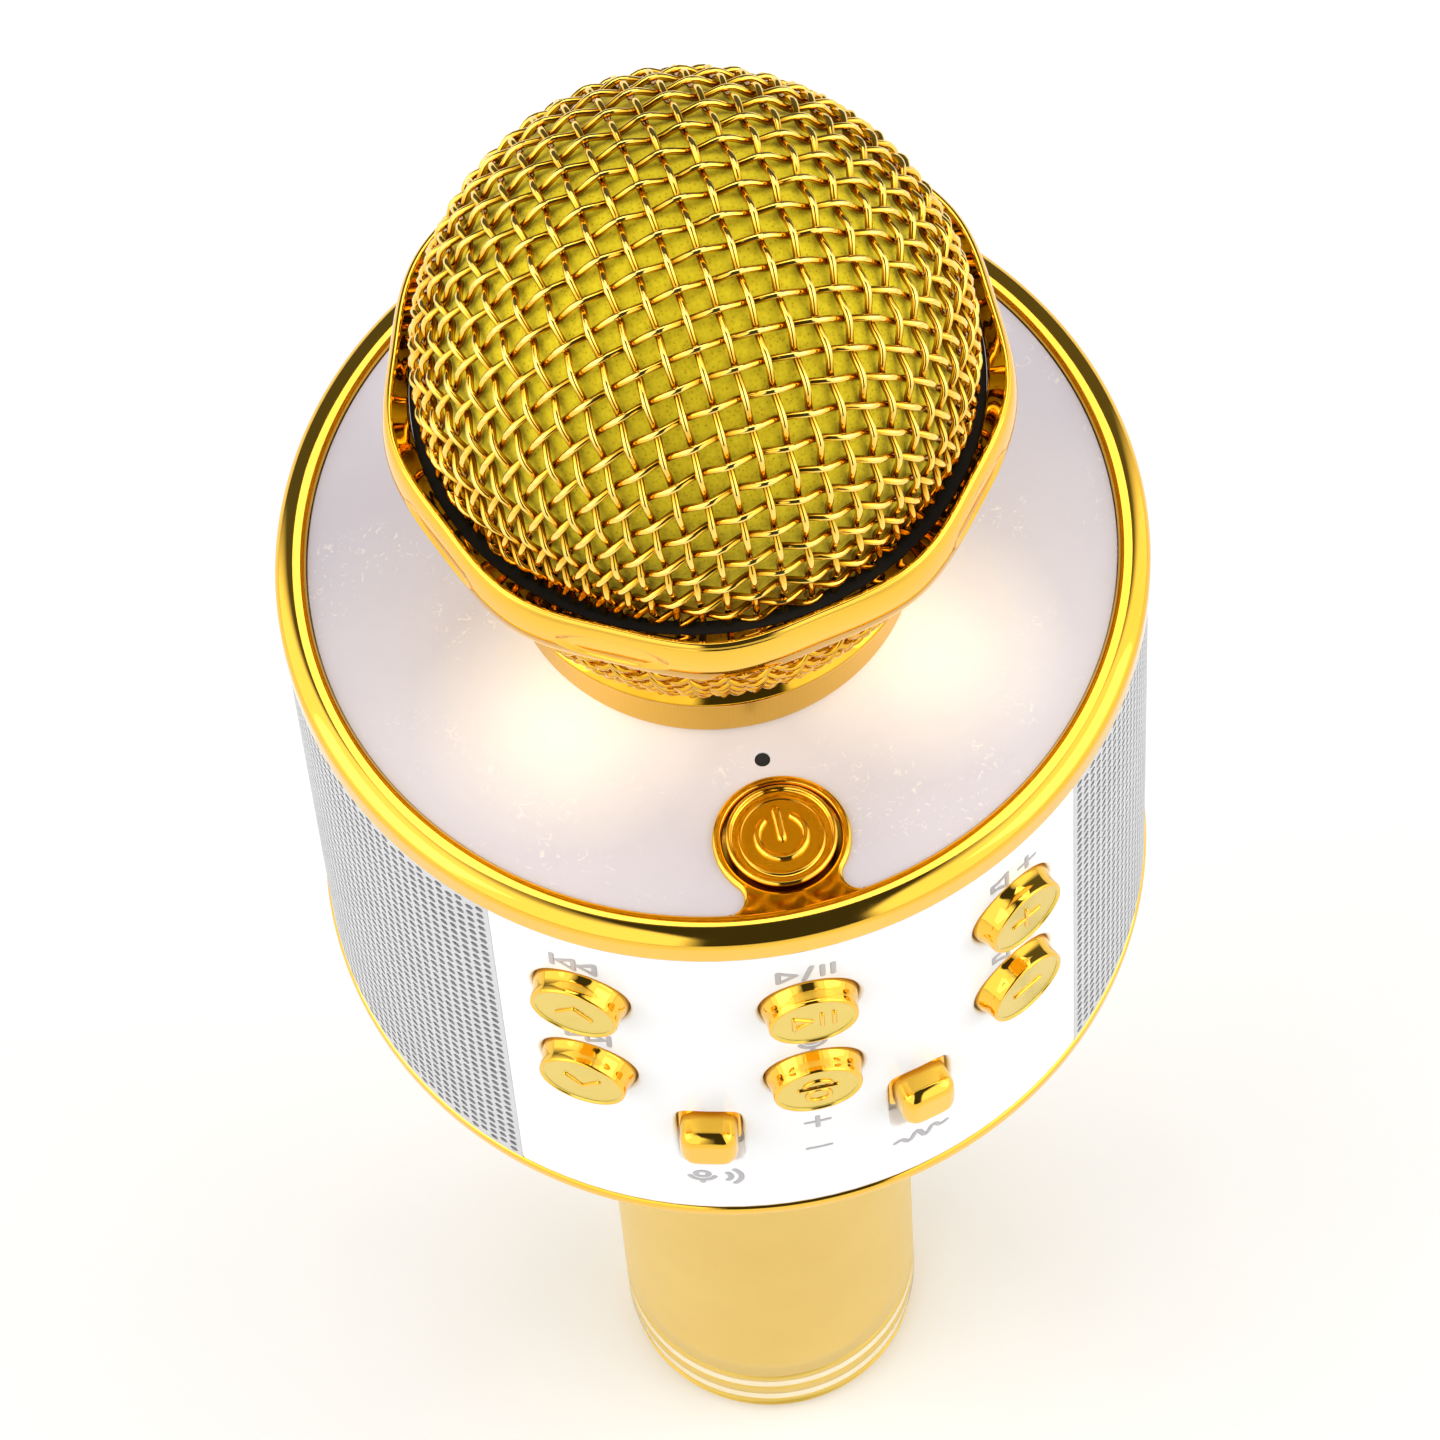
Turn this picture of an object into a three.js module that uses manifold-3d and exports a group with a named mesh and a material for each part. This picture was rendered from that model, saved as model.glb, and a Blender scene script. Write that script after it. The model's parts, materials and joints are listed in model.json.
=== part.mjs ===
// Karaoke microphone: a wire ball grille on a drum housing with two side speakers and a
// control panel, carried by a straight handle.
// Millimetres, +Z up along the handle, origin at the centre of the handle's flat end, and the
// control panel facing -Y. Left and right are as seen from the front. Angles round the drum
// are in degrees from the front, growing towards +X.

import * as THREE from 'three';
import { mergeVertices } from 'three/addons/utils/BufferGeometryUtils.js';
import Module from 'manifold-3d';

// ------------------------------------------------------------------ driving dimensions

const GAP = 0.3; // between pieces that seat on, or nest in, one another

// Handle
const HANDLE_LENGTH = 113.4; // flat end to the underside of the drum
const HANDLE_END_RADIUS = 16.3;
const HANDLE_FLARE = 0.4; // the handle's top is this much larger in radius than its end
const HANDLE_WALL = 2;
const END_CAP_LENGTH = 9.3;
const END_CAP_SKIRT = 5;
const END_CAP_CHAMFER = 1;
const HANDLE_NUT_WALL = 3.5;
const HANDLE_NUT_HEIGHT = 3.3;
const BATTERY_RADIUS = 9.2; // 18650 cell
const BATTERY_LENGTH = 65;
const BATTERY_START = 24;
const CRADLE_WALL = 1.6;
const CRADLE_OVERHANG = 3;

// Drum
const DRUM_RADIUS = 42; // both bezels
const WALL_SETBACK = 0.2; // bezels stand this far proud of the wall between them
const PANEL_WALL = 2;
const GRILLE_SHEET = 0.8;
const PANEL_HALF_ANGLE = 43.2; // front and rear panels; the speaker grilles fill the rest
const BASE_BEZEL_HEIGHT = 1.7;
const BASE_BEZEL_WIDTH = 6;
const TOP_BEZEL_DROP = 3.6; // widest line to lower edge
const TOP_BEZEL_CREST = 0.6; // widest line to crest
const TOP_BEZEL_WIDTH = 3.1;
const TOP_BEZEL_ROUND = 0.8;
const CHASSIS_WALL = 2;
const CHASSIS_INSET = 0.7; // chassis rim inside the wall
const BAFFLE_HALF_WIDTH = 25;

// Control panel: the first row of buttons lies close under the upper deck
const ROW_PITCH = 15.6;
const SLOT_DROP = 12.85; // second row to the middle of the slider slots
const BASE_MARGIN = 18.95; // middle of the slots to the underside of the drum
const COLUMN_ANGLE = 30.5;
const SLOT_ANGLE = 14.6;
const BUTTON_RADIUS = 4.7;
const BUTTON_TAPER = 0.35; // base radius less face radius
const BUTTON_PROUD = 2;
const BUTTON_FLANGE = 0.7; // flange radius beyond the button
const FLANGE_THICKNESS = 1;
const BUTTON_TRAVEL = 0.5;
const SLOT_WIDTH = 6.6;
const SLOT_HEIGHT = 11.7;
const KNOB_HEIGHT = 6.7;
const KNOB_PROUD = 3;
const KNOB_CHAMFER = 0.8;
const KNOB_STEM = [1.4, 2.4];
const POT_DEPTH = 3.5;
const POT_WALL = 2.4;
const SWITCH_SIZE = 6;
const SWITCH_BODY = 2.3;
const PLUNGER_RADIUS = 1.7;
const PLUNGER_HEIGHT = 1;
const CONTROL_BOARD_HALF_ANGLE = 42;
const BOARD_THICKNESS = 1.2;

// Top plate, lights and power button
const PLATE_THICKNESS = 2;
const PLATE_SETBACK = 0.2; // plate below the widest line of the bezel
const PINHOLE_RADIUS = 0.75;
const PINHOLE_FROM_COLLAR = 3.3;
const POWER_INSET = 10.4; // power button's centre inside the bezel's outer edge
const POWER_RADIUS = 5.3;
const POWER_PROUD = 0.4; // above the bezel's crest
const LOBE_WALL = 1;
const LOBE_BRIDGE = 10.2;
const LIGHT_BOARD_INSET = 2.3; // inside the top plate's edge
const LIGHT_FROM_NECK = 5.5;
const LIGHT_SIZE = [3.5, 2.8, 0.8];
const LIGHT_ANGLES = { front_left: -50, front_right: 50, rear: 180 };

// Speakers
const SPEAKER_RADIUS = 20;
const SPEAKER_RIM = 2;
const BASKET_DEPTH = 10;
const BASKET_WALL = 0.8;
const MAGNET_RADIUS = 12.5;
const MAGNET_DEPTH = 7.7;
const CONE_SHEET = 0.8;
const CONE_TRAVEL = 1;
const COIL_RADIUS = 5;

// Main board and its ports
const MAIN_BOARD_THICKNESS = 1.6;
const MAIN_BOARD_RISE = 1; // above the handle nut
const PORT_BOARD_HALF_WIDTH = 21;
const PORT_DEPTH = 9;
const PORT_RISE = 3.6; // centre line above the board
const PORT_RECESS = 0.5; // behind the wall's surface
const AUX_RADIUS = 3;
const AUX_BORE = 1.8;
const AUX_ACROSS = 12;
const CHARGE_SIZE = [9, 3.3];
const CARD_SIZE = [13, 2.6];
const CARD_ACROSS = -14;
const PORT_SHELL = 0.4;
const TONGUE = [6.4, 0.7, 4.5];

// Base screws
const SCREW_ANGLES = [0, 120, 240];
const SCREW_HEAD = 2.4;
const SCREW_HEAD_HEIGHT = 0.9;
const SCREW_SHANK = 1.3;
const SCREW_LENGTH = 5;

// Ball grille
const BALL_RADIUS = 26.4;
const BALL_RISE = 38.5; // ball centre above the widest line of the top bezel
const MESH_THICKNESS = 1;
const BAND_DROP = 9.5; // ball centre to the band's lower edge
const BAND_HEIGHT = 6.5;
const BAND_REACH = 3.2; // band radius beyond the ball
const BAND_WALL = 1.2;
const BAND_FACETS = 18;
const COLLAR_HEIGHT = 6;
const COLLAR_WALL = 1.2;
const SEAL_WIDTH = 0.8;
const SEAL_HEIGHT = 1.2;
const NECK_RADIUS = 17;
const NECK_WALL = 2;
const NECK_RISE = 6.6; // above the top plate
const NECK_FLANGE = 3;
const CAPSULE_RADIUS = 9.5;
const CAPSULE_HEIGHT = 13;
const CAPSULE_TOP = 4; // above the ball centre
const BOOT_WALL = 1.6;
const BOOT_HEIGHT = 10;
const POST_RADIUS = 8;
const POST_WALL = 2;

// Facets
const ROUND = 32;
const INNER_ROUND = 20;
const SMALL_ROUND = 12;
const WALL_ARC_STEPS = 12;
const DOME_STEPS = 6;

// ------------------------------------------------------------------ levels and radii

// Down from the widest line of the top bezel: the power button's stack, the deck, the first row
const powerFlangeDepth = PLATE_SETBACK + PLATE_THICKNESS + GAP + FLANGE_THICKNESS;
const powerSwitchDepth = powerFlangeDepth + BUTTON_TRAVEL + GAP + PLUNGER_HEIGHT + SWITCH_BODY;
const deckDepth = powerSwitchDepth + GAP;
const flangeRadius = BUTTON_RADIUS + BUTTON_FLANGE;
const topMargin = deckDepth + CHASSIS_WALL + GAP + flangeRadius;
const drumHeight = topMargin + ROW_PITCH + SLOT_DROP + BASE_MARGIN;
const drumBase = HANDLE_LENGTH;
const rimLevel = drumBase + drumHeight;
const wallRadius = DRUM_RADIUS - WALL_SETBACK;
const wallInner = wallRadius - PANEL_WALL;
const wallBottom = drumBase + BASE_BEZEL_HEIGHT + GAP;
const wallTop = rimLevel - TOP_BEZEL_DROP - GAP;
const wallMiddle = (wallBottom + wallTop) / 2;

const baseInner = DRUM_RADIUS - BASE_BEZEL_WIDTH;
const handleTopRadius = HANDLE_END_RADIUS + HANDLE_FLARE;
const handleInner = HANDLE_END_RADIUS - HANDLE_WALL;
const nutInner = handleTopRadius + GAP;
const nutOuter = nutInner + HANDLE_NUT_WALL;
const screwAt = (nutOuter + baseInner) / 2;
const chassisRadius = wallInner - CHASSIS_INSET;
const chassisBottom = drumBase + BASE_BEZEL_HEIGHT + GAP;
const lowerDeckTop = chassisBottom + CHASSIS_WALL;
const upperDeckTop = rimLevel - deckDepth;
const upperDeckBottom = upperDeckTop - CHASSIS_WALL;

const plateTop = rimLevel - PLATE_SETBACK;
const plateBottom = plateTop - PLATE_THICKNESS;
const plateRadius = DRUM_RADIUS - TOP_BEZEL_WIDTH - GAP;
const bezelCrest = rimLevel + TOP_BEZEL_CREST;
const powerAt = DRUM_RADIUS - POWER_INSET;
const wellRadius = POWER_RADIUS + GAP;
const lobeRadius = wellRadius + LOBE_WALL;
const powerFlange = lobeRadius - GAP;
const lightAt = NECK_RADIUS + LIGHT_FROM_NECK;
const lightBoardTop = plateBottom - LIGHT_SIZE[2] - 2 * GAP;
const lightBoardBottom = lightBoardTop - BOARD_THICKNESS;

const rowLevels = [rimLevel - topMargin, rimLevel - topMargin - ROW_PITCH];
const slotLevel = rowLevels[1] - SLOT_DROP;
const knobWidth = SLOT_WIDTH - 2 * GAP;
const sliderTravel = SLOT_HEIGHT - KNOB_HEIGHT - 2 * GAP;
const knobRest = slotLevel + sliderTravel / 2;

// Distances from the axis of what is stacked behind the control panel
const buttonHole = BUTTON_RADIUS + GAP;
const flangeOut = Math.sqrt(wallInner ** 2 - flangeRadius ** 2) - GAP;
const flangeIn = flangeOut - FLANGE_THICKNESS;
const plungerTip = flangeIn - BUTTON_TRAVEL - GAP;
const switchBase = plungerTip - PLUNGER_HEIGHT - SWITCH_BODY;
const controlBoardOut = switchBase - GAP;
const controlBoardIn = controlBoardOut - BOARD_THICKNESS;

const speakerFace = Math.sqrt((wallInner - GAP) ** 2 - SPEAKER_RADIUS ** 2);
const baffleOut = speakerFace - SPEAKER_RIM - GAP;
const baffleIn = baffleOut - CHASSIS_WALL;
const basketRadius = SPEAKER_RADIUS - 2;
const basketBack = speakerFace - SPEAKER_RIM - BASKET_DEPTH;

const nutTop = lowerDeckTop + GAP + HANDLE_NUT_HEIGHT;
const mainBoardBottom = nutTop + MAIN_BOARD_RISE;
const mainBoardTop = mainBoardBottom + MAIN_BOARD_THICKNESS;
const portLevel = mainBoardTop + PORT_RISE;

const ballCentre = rimLevel + BALL_RISE;
const bandBottom = ballCentre - BAND_DROP;
const bandTop = bandBottom + BAND_HEIGHT;
const bandMiddle = (bandBottom + bandTop) / 2;
const bandRadius = BALL_RADIUS + BAND_REACH;
const collarRadius = NECK_RADIUS + GAP + SEAL_WIDTH + GAP + COLLAR_WALL;
const pinholeAt = collarRadius + PINHOLE_FROM_COLLAR;
const collarBottom = plateTop + GAP;
const collarTop = collarBottom + COLLAR_HEIGHT;
const neckTop = plateTop + NECK_RISE;
const bowlBottom = collarTop + GAP;
const capsuleTop = ballCentre + CAPSULE_TOP;
const capsuleBottom = capsuleTop - CAPSULE_HEIGHT;
const bootBottom = capsuleBottom - GAP - BOOT_WALL;
const foamBore = CAPSULE_RADIUS + GAP + BOOT_WALL + 2 * GAP;

// ------------------------------------------------------------------ geometry helpers

const wasm = await Module();
wasm.setup();

const radians = THREE.MathUtils.degToRad;
const point = (x, y) => new THREE.Vector2(x, y);

/** Keeps only position, merges shared corners and turns the faces outwards. */
function closed(geometry) {
  const bare = geometry.index ? geometry.toNonIndexed() : geometry.clone();
  bare.deleteAttribute('normal');
  bare.deleteAttribute('uv');
  const merged = mergeVertices(bare, 1e-5);
  const faces = [];
  const corners = merged.index.array;
  for (let i = 0; i < corners.length; i += 3) {
    const [a, b, c] = corners.slice(i, i + 3);
    if (a !== b && b !== c && c !== a) faces.push(a, b, c);
  }
  if (signedVolume(merged.attributes.position, faces) < 0) faces.reverse();
  merged.setIndex(faces);
  return merged;
}

function signedVolume(position, faces) {
  const [a, b, c] = [new THREE.Vector3(), new THREE.Vector3(), new THREE.Vector3()];
  let volume = 0;
  for (let i = 0; i < faces.length; i += 3) {
    a.fromBufferAttribute(position, faces[i]);
    b.fromBufferAttribute(position, faces[i + 1]);
    c.fromBufferAttribute(position, faces[i + 2]);
    volume += a.dot(b.cross(c)) / 6;
  }
  return volume;
}

function toSolid(geometry) {
  const { attributes, index } = closed(geometry);
  const mesh = new wasm.Mesh({
    numProp: 3,
    vertProperties: Float32Array.from(attributes.position.array),
    triVerts: Uint32Array.from(index.array),
  });
  return new wasm.Manifold(mesh);
}

function toGeometry(solid) {
  const mesh = solid.getMesh();
  const geometry = new THREE.BufferGeometry();
  geometry.setAttribute('position', new THREE.BufferAttribute(mesh.vertProperties, 3));
  geometry.setIndex(new THREE.BufferAttribute(mesh.triVerts, 1));
  return geometry;
}

const join = (...pieces) => toGeometry(pieces.map(toSolid).reduce((a, b) => a.add(b)));
const cut = (piece, ...tools) =>
  toGeometry(tools.map(toSolid).reduce((a, b) => a.subtract(b), toSolid(piece)));

/** Turns an outline of [radius, height] pairs about the Z axis. */
function turned(outline, segments = ROUND) {
  const onAxis = outline[0][0] === 0 && outline.at(-1)[0] === 0;
  const path = onAxis ? outline : [...outline, outline[0]];
  const lathe = new THREE.LatheGeometry(path.map(([r, z]) => point(r, z)), segments);
  return closed(lathe.rotateX(Math.PI / 2));
}

/** A ring of rectangular section, or a disc where the inner radius is 0. */
function ring(inner, outer, bottom, top, segments = ROUND) {
  return turned([[inner, bottom], [outer, bottom], [outer, top], [inner, top]], segments);
}

/** Points of an arc about [0, height] in the radius-height plane, from one angle to another. */
function arc(radius, height, from, to, steps) {
  return Array.from({ length: steps + 1 }, (_, i) => {
    const angle = radians(from + ((to - from) * i) / steps);
    return [radius * Math.cos(angle), height + radius * Math.sin(angle)];
  });
}

/** An upright prism of a flat outline between two levels. */
function prism(shape, bottom, top, curveSegments = SMALL_ROUND) {
  const options = { depth: top - bottom, bevelEnabled: false, curveSegments };
  return new THREE.ExtrudeGeometry(shape, options).translate(0, 0, bottom);
}

function block(width, depth, bottom, top, x = 0, y = 0) {
  const box = new THREE.BoxGeometry(width, depth, top - bottom);
  return box.translate(x, y, (bottom + top) / 2);
}

function rod(radius, bottom, top, x = 0, y = 0, segments = SMALL_ROUND) {
  const cylinder = new THREE.CylinderGeometry(radius, radius, top - bottom, segments);
  return cylinder.rotateX(Math.PI / 2).translate(x, y, (bottom + top) / 2);
}

/** A curved wall between two radii and two angles. */
function curvedWall(inner, outer, from, to, bottom, top, steps = WALL_ARC_STEPS) {
  const at = (radius, i) => {
    const angle = radians(from + ((to - from) * i) / steps);
    return point(radius * Math.sin(angle), -radius * Math.cos(angle));
  };
  const indices = Array.from({ length: steps + 1 }, (_, i) => i);
  const outline = [
    ...indices.map((i) => at(outer, i)),
    ...indices.reverse().map((i) => at(inner, i)),
  ];
  return prism(new THREE.Shape(outline), bottom, top);
}

/** A rectangle with rounded ends, centred on the origin. */
function stadium(width, height) {
  const r = height / 2;
  const half = width / 2 - r;
  const shape = new THREE.Shape();
  shape.absarc(half, 0, r, -Math.PI / 2, Math.PI / 2);
  shape.absarc(-half, 0, r, Math.PI / 2, (3 * Math.PI) / 2);
  return shape;
}

/** A transform that points +Z outwards at an angle round the drum and keeps +Y upwards. */
function outward(angle, level, across = 0) {
  const a = radians(angle);
  const side = new THREE.Vector3(Math.cos(a), Math.sin(a), 0);
  const up = new THREE.Vector3(0, 0, 1);
  const out = new THREE.Vector3(Math.sin(a), -Math.cos(a), 0);
  const matrix = new THREE.Matrix4().makeBasis(side, up, out);
  return matrix.setPosition(side.multiplyScalar(across).add(up.multiplyScalar(level)));
}

const sides = { left: -90, right: 90 };

// ------------------------------------------------------------------ materials

const finish = (color, roughness, metalness) =>
  new THREE.MeshStandardMaterial({ color, roughness, metalness });
const brightGold = finish(0xe3a81c, 0.12, 1);
const satinGold = finish(0xe4c469, 0.35, 1);
const goldWire = finish(0xd9a520, 0.2, 1);
const whiteGloss = finish(0xf6f5f4, 0.12, 0);
const frostedPlate = finish(0xded6e2, 0.45, 0);
const silverMesh = finish(0xb9bbbf, 0.35, 0.9);
const foam = finish(0xa89a28, 0.95, 0);
const blackPlastic = finish(0x1c1d20, 0.5, 0);
const greyPlastic = finish(0x8d9096, 0.55, 0);
const blackRubber = finish(0x17171a, 0.85, 0);
const circuitGreen = finish(0x1f5a37, 0.5, 0);
const steel = finish(0xb4b7bb, 0.3, 1);
const warmLight = finish(0xffdf9a, 0.3, 0);
const conePaper = finish(0x26272b, 0.9, 0);
const cellBlue = finish(0x2f6fb0, 0.4, 0);

// ------------------------------------------------------------------ assembly

const microphone = new THREE.Group();

function addPiece(name, geometry, material, transform) {
  const mesh = new THREE.Mesh(geometry, material);
  mesh.name = name;
  if (transform) transform.decompose(mesh.position, mesh.quaternion, mesh.scale);
  microphone.add(mesh);
}

// ------------------------------------------------------------------ handle

function handleEndCap() {
  return turned([
    [0, 0],
    [HANDLE_END_RADIUS - END_CAP_CHAMFER, 0],
    [HANDLE_END_RADIUS, END_CAP_CHAMFER],
    [HANDLE_END_RADIUS, END_CAP_LENGTH],
    [handleInner - GAP, END_CAP_LENGTH],
    [handleInner - GAP, END_CAP_LENGTH + END_CAP_SKIRT],
    [handleInner - GAP - HANDLE_WALL, END_CAP_LENGTH + END_CAP_SKIRT],
    [handleInner - GAP - HANDLE_WALL, HANDLE_WALL],
    [0, HANDLE_WALL],
  ]);
}

function handleTube() {
  return turned([
    [handleInner, END_CAP_LENGTH + GAP],
    [HANDLE_END_RADIUS, END_CAP_LENGTH + GAP],
    [handleTopRadius, HANDLE_LENGTH],
    [handleTopRadius, nutTop],
    [handleInner, nutTop],
  ]);
}

function batteryCradle() {
  const inner = BATTERY_RADIUS + GAP;
  const bottom = BATTERY_START - CRADLE_OVERHANG;
  const top = BATTERY_START + BATTERY_LENGTH + CRADLE_OVERHANG;
  return curvedWall(inner, inner + CRADLE_WALL, 60, 300, bottom, top);
}

const batteryTop = BATTERY_START + BATTERY_LENGTH;
const battery = ring(0, BATTERY_RADIUS, BATTERY_START, batteryTop, INNER_ROUND);
const handleNut = ring(nutInner, nutOuter, lowerDeckTop + GAP, nutTop);
addPiece('handle_end_cap', handleEndCap(), satinGold);
addPiece('handle_tube', handleTube(), satinGold);
addPiece('handle_nut', handleNut, steel);
addPiece('battery', battery, cellBlue);
addPiece('battery_cradle', batteryCradle(), blackPlastic);

// ------------------------------------------------------------------ drum base

function baseBezel() {
  const edge = 0.4;
  return turned([
    [baseInner, drumBase],
    [DRUM_RADIUS - edge, drumBase],
    [DRUM_RADIUS, drumBase + edge],
    [DRUM_RADIUS, drumBase + BASE_BEZEL_HEIGHT - edge],
    [DRUM_RADIUS - edge, drumBase + BASE_BEZEL_HEIGHT],
    [baseInner, drumBase + BASE_BEZEL_HEIGHT],
  ]);
}

const screwPlaces = SCREW_ANGLES.map((angle) => {
  const a = radians(angle);
  return [screwAt * Math.sin(a), -screwAt * Math.cos(a)];
});

/** Clearance for the base screws' shanks, from below the drum to past their tips. */
const screwHoles = screwPlaces.map(([x, y]) =>
  rod(SCREW_SHANK + GAP, drumBase - 1, drumBase + SCREW_LENGTH + 2 * GAP, x, y));

function baseCover() {
  const top = drumBase + BASE_BEZEL_HEIGHT;
  const headSeat = drumBase + GAP + SCREW_HEAD_HEIGHT;
  const disc = ring(handleTopRadius + GAP, baseInner - GAP, drumBase, top);
  const headHoles = screwPlaces.map(([x, y]) => rod(SCREW_HEAD + GAP, drumBase - 1, headSeat, x, y));
  return cut(disc, ...screwHoles, ...headHoles);
}

function baseScrew() {
  return turned([
    [0, 0],
    [SCREW_HEAD, 0],
    [SCREW_HEAD, SCREW_HEAD_HEIGHT - GAP],
    [SCREW_SHANK, SCREW_HEAD_HEIGHT - GAP],
    [SCREW_SHANK, SCREW_LENGTH],
    [0, SCREW_LENGTH],
  ], SMALL_ROUND);
}

addPiece('base_bezel', baseBezel(), brightGold);
addPiece('base_cover', baseCover(), satinGold);
screwPlaces.forEach(([x, y], i) => {
  const place = new THREE.Matrix4().makeTranslation(x, y, drumBase + GAP);
  addPiece(`base_screw_${i + 1}`, baseScrew(), steel, place);
});

// ------------------------------------------------------------------ chassis and walls

/** The room a speaker takes, with clearance, in place on one side of the drum. */
function speakerRoom(angle) {
  const rim = rod(SPEAKER_RADIUS + GAP, baffleOut, DRUM_RADIUS, 0, 0, INNER_ROUND);
  const back = basketBack - MAGNET_DEPTH - 1;
  const basket = rod(basketRadius + GAP, back, baffleOut + 1, 0, 0, INNER_ROUND);
  return join(rim, basket).applyMatrix4(outward(angle, wallMiddle));
}

function chassis() {
  const lowerDeck = ring(handleTopRadius + GAP, chassisRadius, chassisBottom, lowerDeckTop);
  const deckBore = NECK_RADIUS - NECK_WALL;
  const upperDeck = ring(deckBore, chassisRadius, upperDeckBottom, upperDeckTop);
  const overlap = CHASSIS_WALL / 2;
  const baffleHalf = Math.min(BAFFLE_HALF_WIDTH, Math.sqrt(chassisRadius ** 2 - baffleOut ** 2));
  const baffles = [-1, 1].map((side) => block(
    CHASSIS_WALL, 2 * baffleHalf, lowerDeckTop - overlap, upperDeckBottom + overlap,
    side * (baffleIn + baffleOut) / 2, 0));
  const frame = join(lowerDeck, upperDeck, ...baffles);
  const rooms = Object.values(sides).map(speakerRoom);
  return cut(frame, ...rooms, ...screwHoles);
}

/** A panel or grille sheet between the bezels, centred on an angle. */
function wallSection(thickness, middle, halfAngle) {
  const seam = THREE.MathUtils.radToDeg(GAP / 2 / wallRadius);
  const reach = halfAngle - seam;
  const inner = wallRadius - thickness;
  return curvedWall(inner, wallRadius, middle - reach, middle + reach, wallBottom, wallTop);
}

function frontPanel() {
  const through = [controlBoardOut, DRUM_RADIUS + 1];
  const holes = rowLevels.flatMap((level) => [-COLUMN_ANGLE, 0, COLUMN_ANGLE].map((angle) =>
    rod(buttonHole, ...through).applyMatrix4(outward(angle, level))));
  const slots = [-SLOT_ANGLE, SLOT_ANGLE].map((angle) =>
    block(SLOT_WIDTH, SLOT_HEIGHT, ...through).applyMatrix4(outward(angle, slotLevel)));
  return cut(wallSection(PANEL_WALL, 0, PANEL_HALF_ANGLE), ...holes, ...slots);
}

const grilleHalfAngle = 90 - PANEL_HALF_ANGLE;
addPiece('chassis', chassis(), greyPlastic);
addPiece('front_panel', frontPanel(), whiteGloss);
for (const [side, angle] of Object.entries(sides)) {
  addPiece(`speaker_grille_${side}`, wallSection(GRILLE_SHEET, angle, grilleHalfAngle), silverMesh);
}

// ------------------------------------------------------------------ main board and ports

/** How far out a port reaches at its place on the flat board, inside the round wall. */
const portFace = (across, width) =>
  Math.sqrt(wallRadius ** 2 - (Math.abs(across) + width / 2) ** 2) - PORT_RECESS;

function mainBoard() {
  const radius = baffleIn - 2 * GAP;
  const disc = rod(radius, mainBoardBottom, mainBoardTop, 0, 0, ROUND);
  const reach = Math.sqrt(chassisRadius ** 2 - PORT_BOARD_HALF_WIDTH ** 2);
  const tongue = block(
    2 * PORT_BOARD_HALF_WIDTH, reach, mainBoardBottom, mainBoardTop, 0, reach / 2);
  return cut(join(disc, tongue), ...Object.values(sides).map(speakerRoom));
}

/** A flat receptacle: a shell open at the front, with a back wall and an optional tongue. */
function flatPort([width, height], face, tongue) {
  const mouth = stadium(width - 2 * PORT_SHELL, height - 2 * PORT_SHELL);
  const back = face - PORT_DEPTH;
  const shell = prism(stadium(width, height), back, face, 4);
  const hollow = prism(mouth, back + 1, face + 1, 4);
  const body = cut(shell, hollow);
  if (!tongue) return body;
  const [tongueWidth, tongueHeight, tongueLength] = tongue;
  return join(body, block(tongueWidth, tongueHeight, back + 0.5, back + 1 + tongueLength));
}

const auxFace = portFace(AUX_ACROSS, 2 * AUX_RADIUS);
const chargeFace = portFace(0, CHARGE_SIZE[0]);
const cardFace = portFace(CARD_ACROSS, CARD_SIZE[0]);
const auxBack = auxFace - PORT_DEPTH;
const auxBarrel = rod(AUX_RADIUS, auxBack, auxFace, 0, 0);
const auxBore = rod(AUX_BORE, auxBack + 1, auxFace + 1, 0, 0);

function rearPanel() {
  const through = [chassisRadius - PORT_DEPTH, DRUM_RADIUS + 1];
  const grown = ([width, height]) => stadium(width + 2 * GAP, height + 2 * GAP);
  const holes = [
    rod(AUX_RADIUS + GAP, ...through).applyMatrix4(outward(180, portLevel, AUX_ACROSS)),
    prism(grown(CHARGE_SIZE), ...through, 4).applyMatrix4(outward(180, portLevel)),
    prism(grown(CARD_SIZE), ...through, 4).applyMatrix4(outward(180, portLevel, CARD_ACROSS)),
  ];
  return cut(wallSection(PANEL_WALL, 180, PANEL_HALF_ANGLE), ...holes);
}

addPiece('rear_panel', rearPanel(), whiteGloss);
addPiece('main_board', mainBoard(), circuitGreen);
addPiece('aux_jack', cut(auxBarrel, auxBore), blackPlastic, outward(180, portLevel, AUX_ACROSS));
addPiece('charge_port', flatPort(CHARGE_SIZE, chargeFace, TONGUE), steel, outward(180, portLevel));
addPiece('card_slot', flatPort(CARD_SIZE, cardFace), steel, outward(180, portLevel, CARD_ACROSS));

// ------------------------------------------------------------------ speakers

function speakerFrame() {
  const rimBack = speakerFace - SPEAKER_RIM;
  return turned([
    [basketRadius - BASKET_WALL, speakerFace],
    [SPEAKER_RADIUS, speakerFace],
    [SPEAKER_RADIUS, rimBack],
    [basketRadius, rimBack],
    [MAGNET_RADIUS - 1, basketBack],
    [MAGNET_RADIUS - 1 - BASKET_WALL, basketBack],
    [basketRadius - BASKET_WALL, rimBack],
  ], INNER_ROUND);
}

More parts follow.
